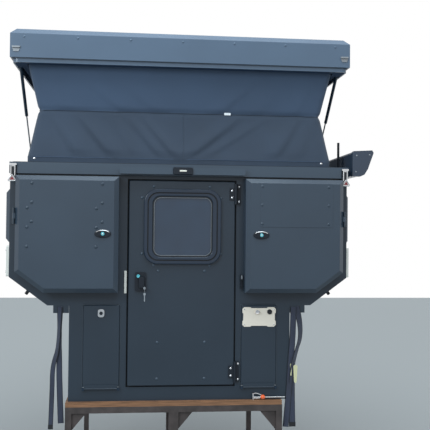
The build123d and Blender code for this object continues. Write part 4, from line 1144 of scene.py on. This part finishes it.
@dataclass(frozen=True)
class Strand:
    """One strand of webbing.

    Its route is x and the height above the deck. Its twist is degrees at even steps along it.
    Its tag is the offset across, width, lower and upper height. All are metres but the twist.
    """

    name: str
    width: float
    y: float
    route: tuple[Pair, ...]
    twist: tuple[float, ...] = (0, 0)
    tag: tuple[float, ...] = ()
    covered: bool = False
    thick: float = 2.6 * MM
    # Radius of the dark tubes of painted shade along the webbing's sides.
    edge: float = 1.8 * MM
    end_cover: float = 24.4 * MM

    def line(self) -> Array:
        """Points along a smooth curve that has the route's points as its control points.

        Returns:
            Points of the curve, n by 3.
        """
        curve = bpy.data.curves.new("route", "CURVE")
        curve.dimensions = "3D"
        spline = curve.splines.new("NURBS")
        spline.points.add(len(self.route) - 1)
        for point, (x, z) in zip(spline.points, self.route):
            point.co = (x, self.y, DECK + z, 1.0)
        spline.order_u = 3
        spline.use_endpoint_u = True
        spline.resolution_u = 12
        carrier = bpy.data.objects.new("route", curve)
        mesh = bpy.data.meshes.new_from_object(carrier)
        flat = np.zeros(len(mesh.vertices) * 3)
        mesh.vertices.foreach_get("co", flat)
        bpy.data.objects.remove(carrier)
        bpy.data.meshes.remove(mesh)
        bpy.data.curves.remove(curve)
        return flat.reshape(-1, 3)

    def build(self) -> None:
        """A rectangle with rounded edges carried along the route, with dark lines of painted shade
        along its sides, and its trims.
        """
        path = self.line()
        along = np.gradient(path, axis=0)
        along /= np.linalg.norm(along, axis=1, keepdims=True)
        steps = np.linalg.norm(np.diff(path, axis=0), axis=1)
        run = np.concatenate([[0.0], np.cumsum(steps)])
        knots = np.linspace(0.0, 1.0, len(self.twist))
        turn = np.radians(np.interp(run / run[-1], knots, self.twist))[:, None]
        across = np.cos(turn) * np.cross(along, ALONG_Y) + np.sin(turn) * np.array(ALONG_Y)
        depth = np.cross(across, along)
        section = rounded(self.width, self.thick, 1.1 * MM, 3)[None, :, :, None]
        grid = (path[:, None, :] + section[:, :, 0] * across[:, None, :]
                + section[:, :, 1] * depth[:, None, :])
        uv = np.stack(np.broadcast_arrays(section[:, :, 0, 0], run[:, None]), axis=-1)
        # The section runs the other way round its path than a tube's, so its faces are turned.
        faces = [[first, *rest[::-1]] for first, *rest in skin(*grid.shape[:2])]
        obj = piece(f"{self.name}_webbing", "camper", PALETTE.webbing,
                    Shape(grid.reshape(-1, 3), faces, uv.reshape(-1, 2)), smooth=50.0)
        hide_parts(self.name)
        # Painted shade: dark rubber tubes along both sides make the webbing darker at its edges
        # than in its middle.
        shade_lines = [path + side * (self.width / 2 - 1.3 * MM) * across for side in HANDS]
        extras = [piece(f"{self.name}_shaded_edges", "camper", PALETTE.rubber,
                        *[tube(rim, self.edge / MM, 6, ALONG_Y) for rim in shade_lines])]
        if self.tag:
            extras.append(self.label(path))
        if self.covered:
            extras.append(self.cover(path[-1]))

    def label(self, path: Array) -> bpy.types.Object:
        """A blank sewn tag on the strand, narrower towards its foot.

        Args:
            path: The strand's line.

        Returns:
            The tag.
        """
        out, width, low, high = self.tag
        middle = DECK + (low + high) / 2
        x = out + float(np.interp(-middle, -path[:, 2], path[:, 0]))
        outline = rounded(width, high - low, 0.45 * width) / MM
        outline[:, 0] *= 0.78 + 0.45 * MM * outline[:, 1] / (high - low)
        return piece(f"{self.name}_tag", "camper", PALETTE.label,
                     prism(Seat((x, self.y - self.thick / 2, middle)), outline, -0.2, 2.2))

    def cover(self, end: Array) -> bpy.types.Object:
        """A dark cover over the strand's last stretch.

        Args:
            end: The last point of its line.

        Returns:
            The cover.
        """
        half = self.thick / MM / 2 + 0.6
        size = (self.width / MM + 2, self.end_cover / MM, 2)
        return piece(f"{self.name}_end", "camper", PALETTE.rubber,
                     plate(Seat((end[0], self.y, end[2] + 12 * MM)), size, -half, half))


@dataclass
class Slings:
    """Four strands of webbing that hang from the rear tie-downs."""

    strands: tuple[Strand, ...] = (
        Strand("sling_left_inner", 0.030, -0.0018,
               ((-0.641, 0.502), (-0.641, 0.300), (-0.641, 0.160), (-0.636, 0.040),
                (-0.629, -0.112)), (0, -42, -40, -8, 0, 0, 0)),
        Strand("sling_left_outer", 0.024, -0.0051,
               ((-0.643, 0.500), (-0.642, 0.300), (-0.676, 0.190), (-0.676, 0.060),
                (-0.682, -0.142)), (0, -42, -40, -8, 12, 0, 0), covered=True),
        Strand("sling_right_outer", 0.034, -0.0018,
               ((0.630, 0.502), (0.668, 0.370), (0.622, 0.230), (0.604, 0.120),
                (0.613, -0.150)), (0, 30, 48, 42, 6, 0, 0), (0.018, 0.024, 0.086, 0.184),
               covered=True),
        Strand("sling_right_inner", 0.032, -0.0051,
               ((0.614, 0.500), (0.612, 0.340), (0.600, 0.200), (0.594, 0.060),
                (0.575, -0.150)), tag=(0.004, 0.009, 0.126, 0.192)),
    )

    def build(self) -> None:
        """Make the four strands."""
        for strand in self.strands:
            strand.build()


@dataclass
class Stand:
    """The steel trestle stand and its timber deck."""

    feet: tuple[tuple[float, tuple[float, ...]], ...] = (
        (-0.0135, (-0.5895, -0.0355, 0.5345)), (1.5035, (-0.5895, 0.0045, 0.5995)))
    foot_thick: float = 0.008
    bolt_offset: float = 0.036

    def build(self) -> None:
        """Dress the stand and add its foot bolts."""
        paint(PALETTE.deck, "stand_deck")
        paint(PALETTE.stand, "stand_legs", "stand_top_frame")
        offsets = list(product((-self.bolt_offset, self.bolt_offset), repeat=2))
        seats = [Seat((x + dx, y + dy, self.foot_thick), ALONG_Z, ALONG_Y)
                 for y, row in self.feet for x in row for dx, dy in offsets]
        piece("foot_bolts", "camper", PALETTE.stand, *heads(seats, 8, 4, 6), smooth=20.0)


@dataclass
class Studio:
    """Camera at the photograph's angle, soft lamps, a pale floor and a white surround."""

    eye: Triple = (-0.241, -4.0515, 1.6108)
    yaw: float = math.radians(5.92)
    pitch: float = math.radians(1.21)
    roll: float = 0.0095
    lens: float = 62.9
    sensor: float = 36.0
    far: float = 100.0
    lamps: tuple[tuple[str, Triple, Triple, float, float], ...] = (
        ("left_fill", (-3.6, -4.2, 3.8), (-0.4, 0.0, 2.1), 1.8, 120.0),
        ("overhead", (0.0, -1.1, 5.2), (0.0, -0.5, 1.6), 2.6, 90.0))
    horizon: float = 0.44
    zenith: float = 4.2
    floor_half: float = 14.0
    floor_tone: tuple[float, ...] = (0.31, 0.31, 0.305, 1.0)
    floor_rough: float = 0.9

    def build(self) -> None:
        """Set the camera and the light."""
        self.camera()
        self.world()
        for lamp in self.lamps:
            self.lamp(*lamp)
        self.floor()
        bpy.context.scene.view_settings.view_transform = "Standard"

    def camera(self) -> None:
        """Set the camera: look along the yaw and pitch, then roll about the view."""
        level = Vector((math.cos(self.yaw), -math.sin(self.yaw), 0.0))
        forward = Vector((math.sin(self.yaw) * math.cos(self.pitch),
                          math.cos(self.yaw) * math.cos(self.pitch), math.sin(self.pitch)))
        above = level.cross(forward)
        right = math.cos(self.roll) * level + math.sin(self.roll) * above
        up = math.cos(self.roll) * above - math.sin(self.roll) * level
        data = bpy.data.cameras.new("photo_camera")
        data.lens = self.lens
        data.sensor_width = self.sensor
        data.clip_end = self.far
        camera = bpy.data.objects.new("photo_camera", data)
        turn = Matrix((right, up, -forward)).transposed().to_4x4()
        camera.matrix_world = Matrix.Translation(self.eye) @ turn
        bpy.context.collection.objects.link(camera)
        bpy.context.scene.camera = camera

    @staticmethod
    def lamp(name: str, place: Triple, aim: Triple, size: float, power: float) -> None:
        """One square area lamp.

        Args:
            name: Its name.
            place: Where it hangs.
            aim: What it points at.
            size: Length of its side.
            power: Watts.
        """
        data = bpy.data.lights.new(name, "AREA")
        data.shape = "SQUARE"
        data.size = size
        data.energy = power
        data.color = SKY
        obj = bpy.data.objects.new(name, data)
        direction = Vector(aim) - Vector(place)
        obj.rotation_euler = direction.to_track_quat("-Z", "Y").to_euler()
        obj.location = place
        bpy.context.collection.objects.link(obj)

    def world(self) -> None:
        """White surround to the camera, to gloss and to glass, and an overcast sky elsewhere.

        The sky is as strong as the horizon at and below it, and so many times stronger
        straight overhead.
        """
        world = bpy.context.scene.world = bpy.data.worlds.new("surround")
        world.use_nodes = True
        tree = world.node_tree
        rays = tree.nodes.new("ShaderNodeLightPath").outputs
        seen = rays["Is Camera Ray"]
        for kind in ("Is Glossy Ray", "Is Transmission Ray"):
            either = add_node(tree, "Math", {0: seen, 1: rays[kind]})
            either.operation = "MAXIMUM"
            seen = either.outputs["Value"]
        place = tree.nodes.new("ShaderNodeTexCoord")
        split = add_node(tree, "SeparateXYZ", {"Vector": place.outputs["Generated"]})
        sky = add_node(tree, "MapRange", {
            "Value": split.outputs["Z"], "To Min": self.horizon,
            "To Max": self.horizon * self.zenith})
        strength = add_node(tree, "Mix", {"Factor": seen, "A": sky.outputs["Result"], "B": 1.0})
        tint = add_node(tree, "Mix", {0: seen, 6: (*SKY, 1.0), 7: (1.0, 1.0, 1.0, 1.0)})
        tint.data_type = "RGBA"
        wire(tree.nodes["Background"], {
            "Strength": strength.outputs["Result"], "Color": tint.outputs[2]})

    def floor(self) -> None:
        """A large pale floor under the stand."""
        mesh = bpy.data.meshes.new("studio_floor")
        corners = ((-1, -1), (1, -1), (1, 1), (-1, 1))
        mesh.from_pydata([(self.floor_half * x, self.floor_half * y, 0.0) for x, y in corners],
                         [], [range(4)])
        obj = bpy.data.objects.new("studio_floor", mesh)
        bpy.context.collection.objects.link(obj)
        mat = bpy.data.materials.new("pale_floor")
        mat.use_nodes = True
        wire(mat.node_tree.nodes["Principled BSDF"], {
            "Base Color": self.floor_tone, "Roughness": self.floor_rough})
        mesh.materials.append(mat)


def main() -> None:
    """Build every sub-assembly in order."""
    logging.basicConfig(level=logging.INFO, format="%(name)s %(message)s")
    assemblies = [
        Studio(), Slings(), Stand(), Shell(), Roof(), Canvas(), CornerLocker(-1),
        CornerLocker(1), Door(), LowerHatch(-1), LowerHatch(1), Sides(), Fittings(),
    ]
    for assembly in assemblies:
        assembly.build()
        LOG.info("%s done", type(assembly).__name__)


if __name__ == "__main__":
    main()
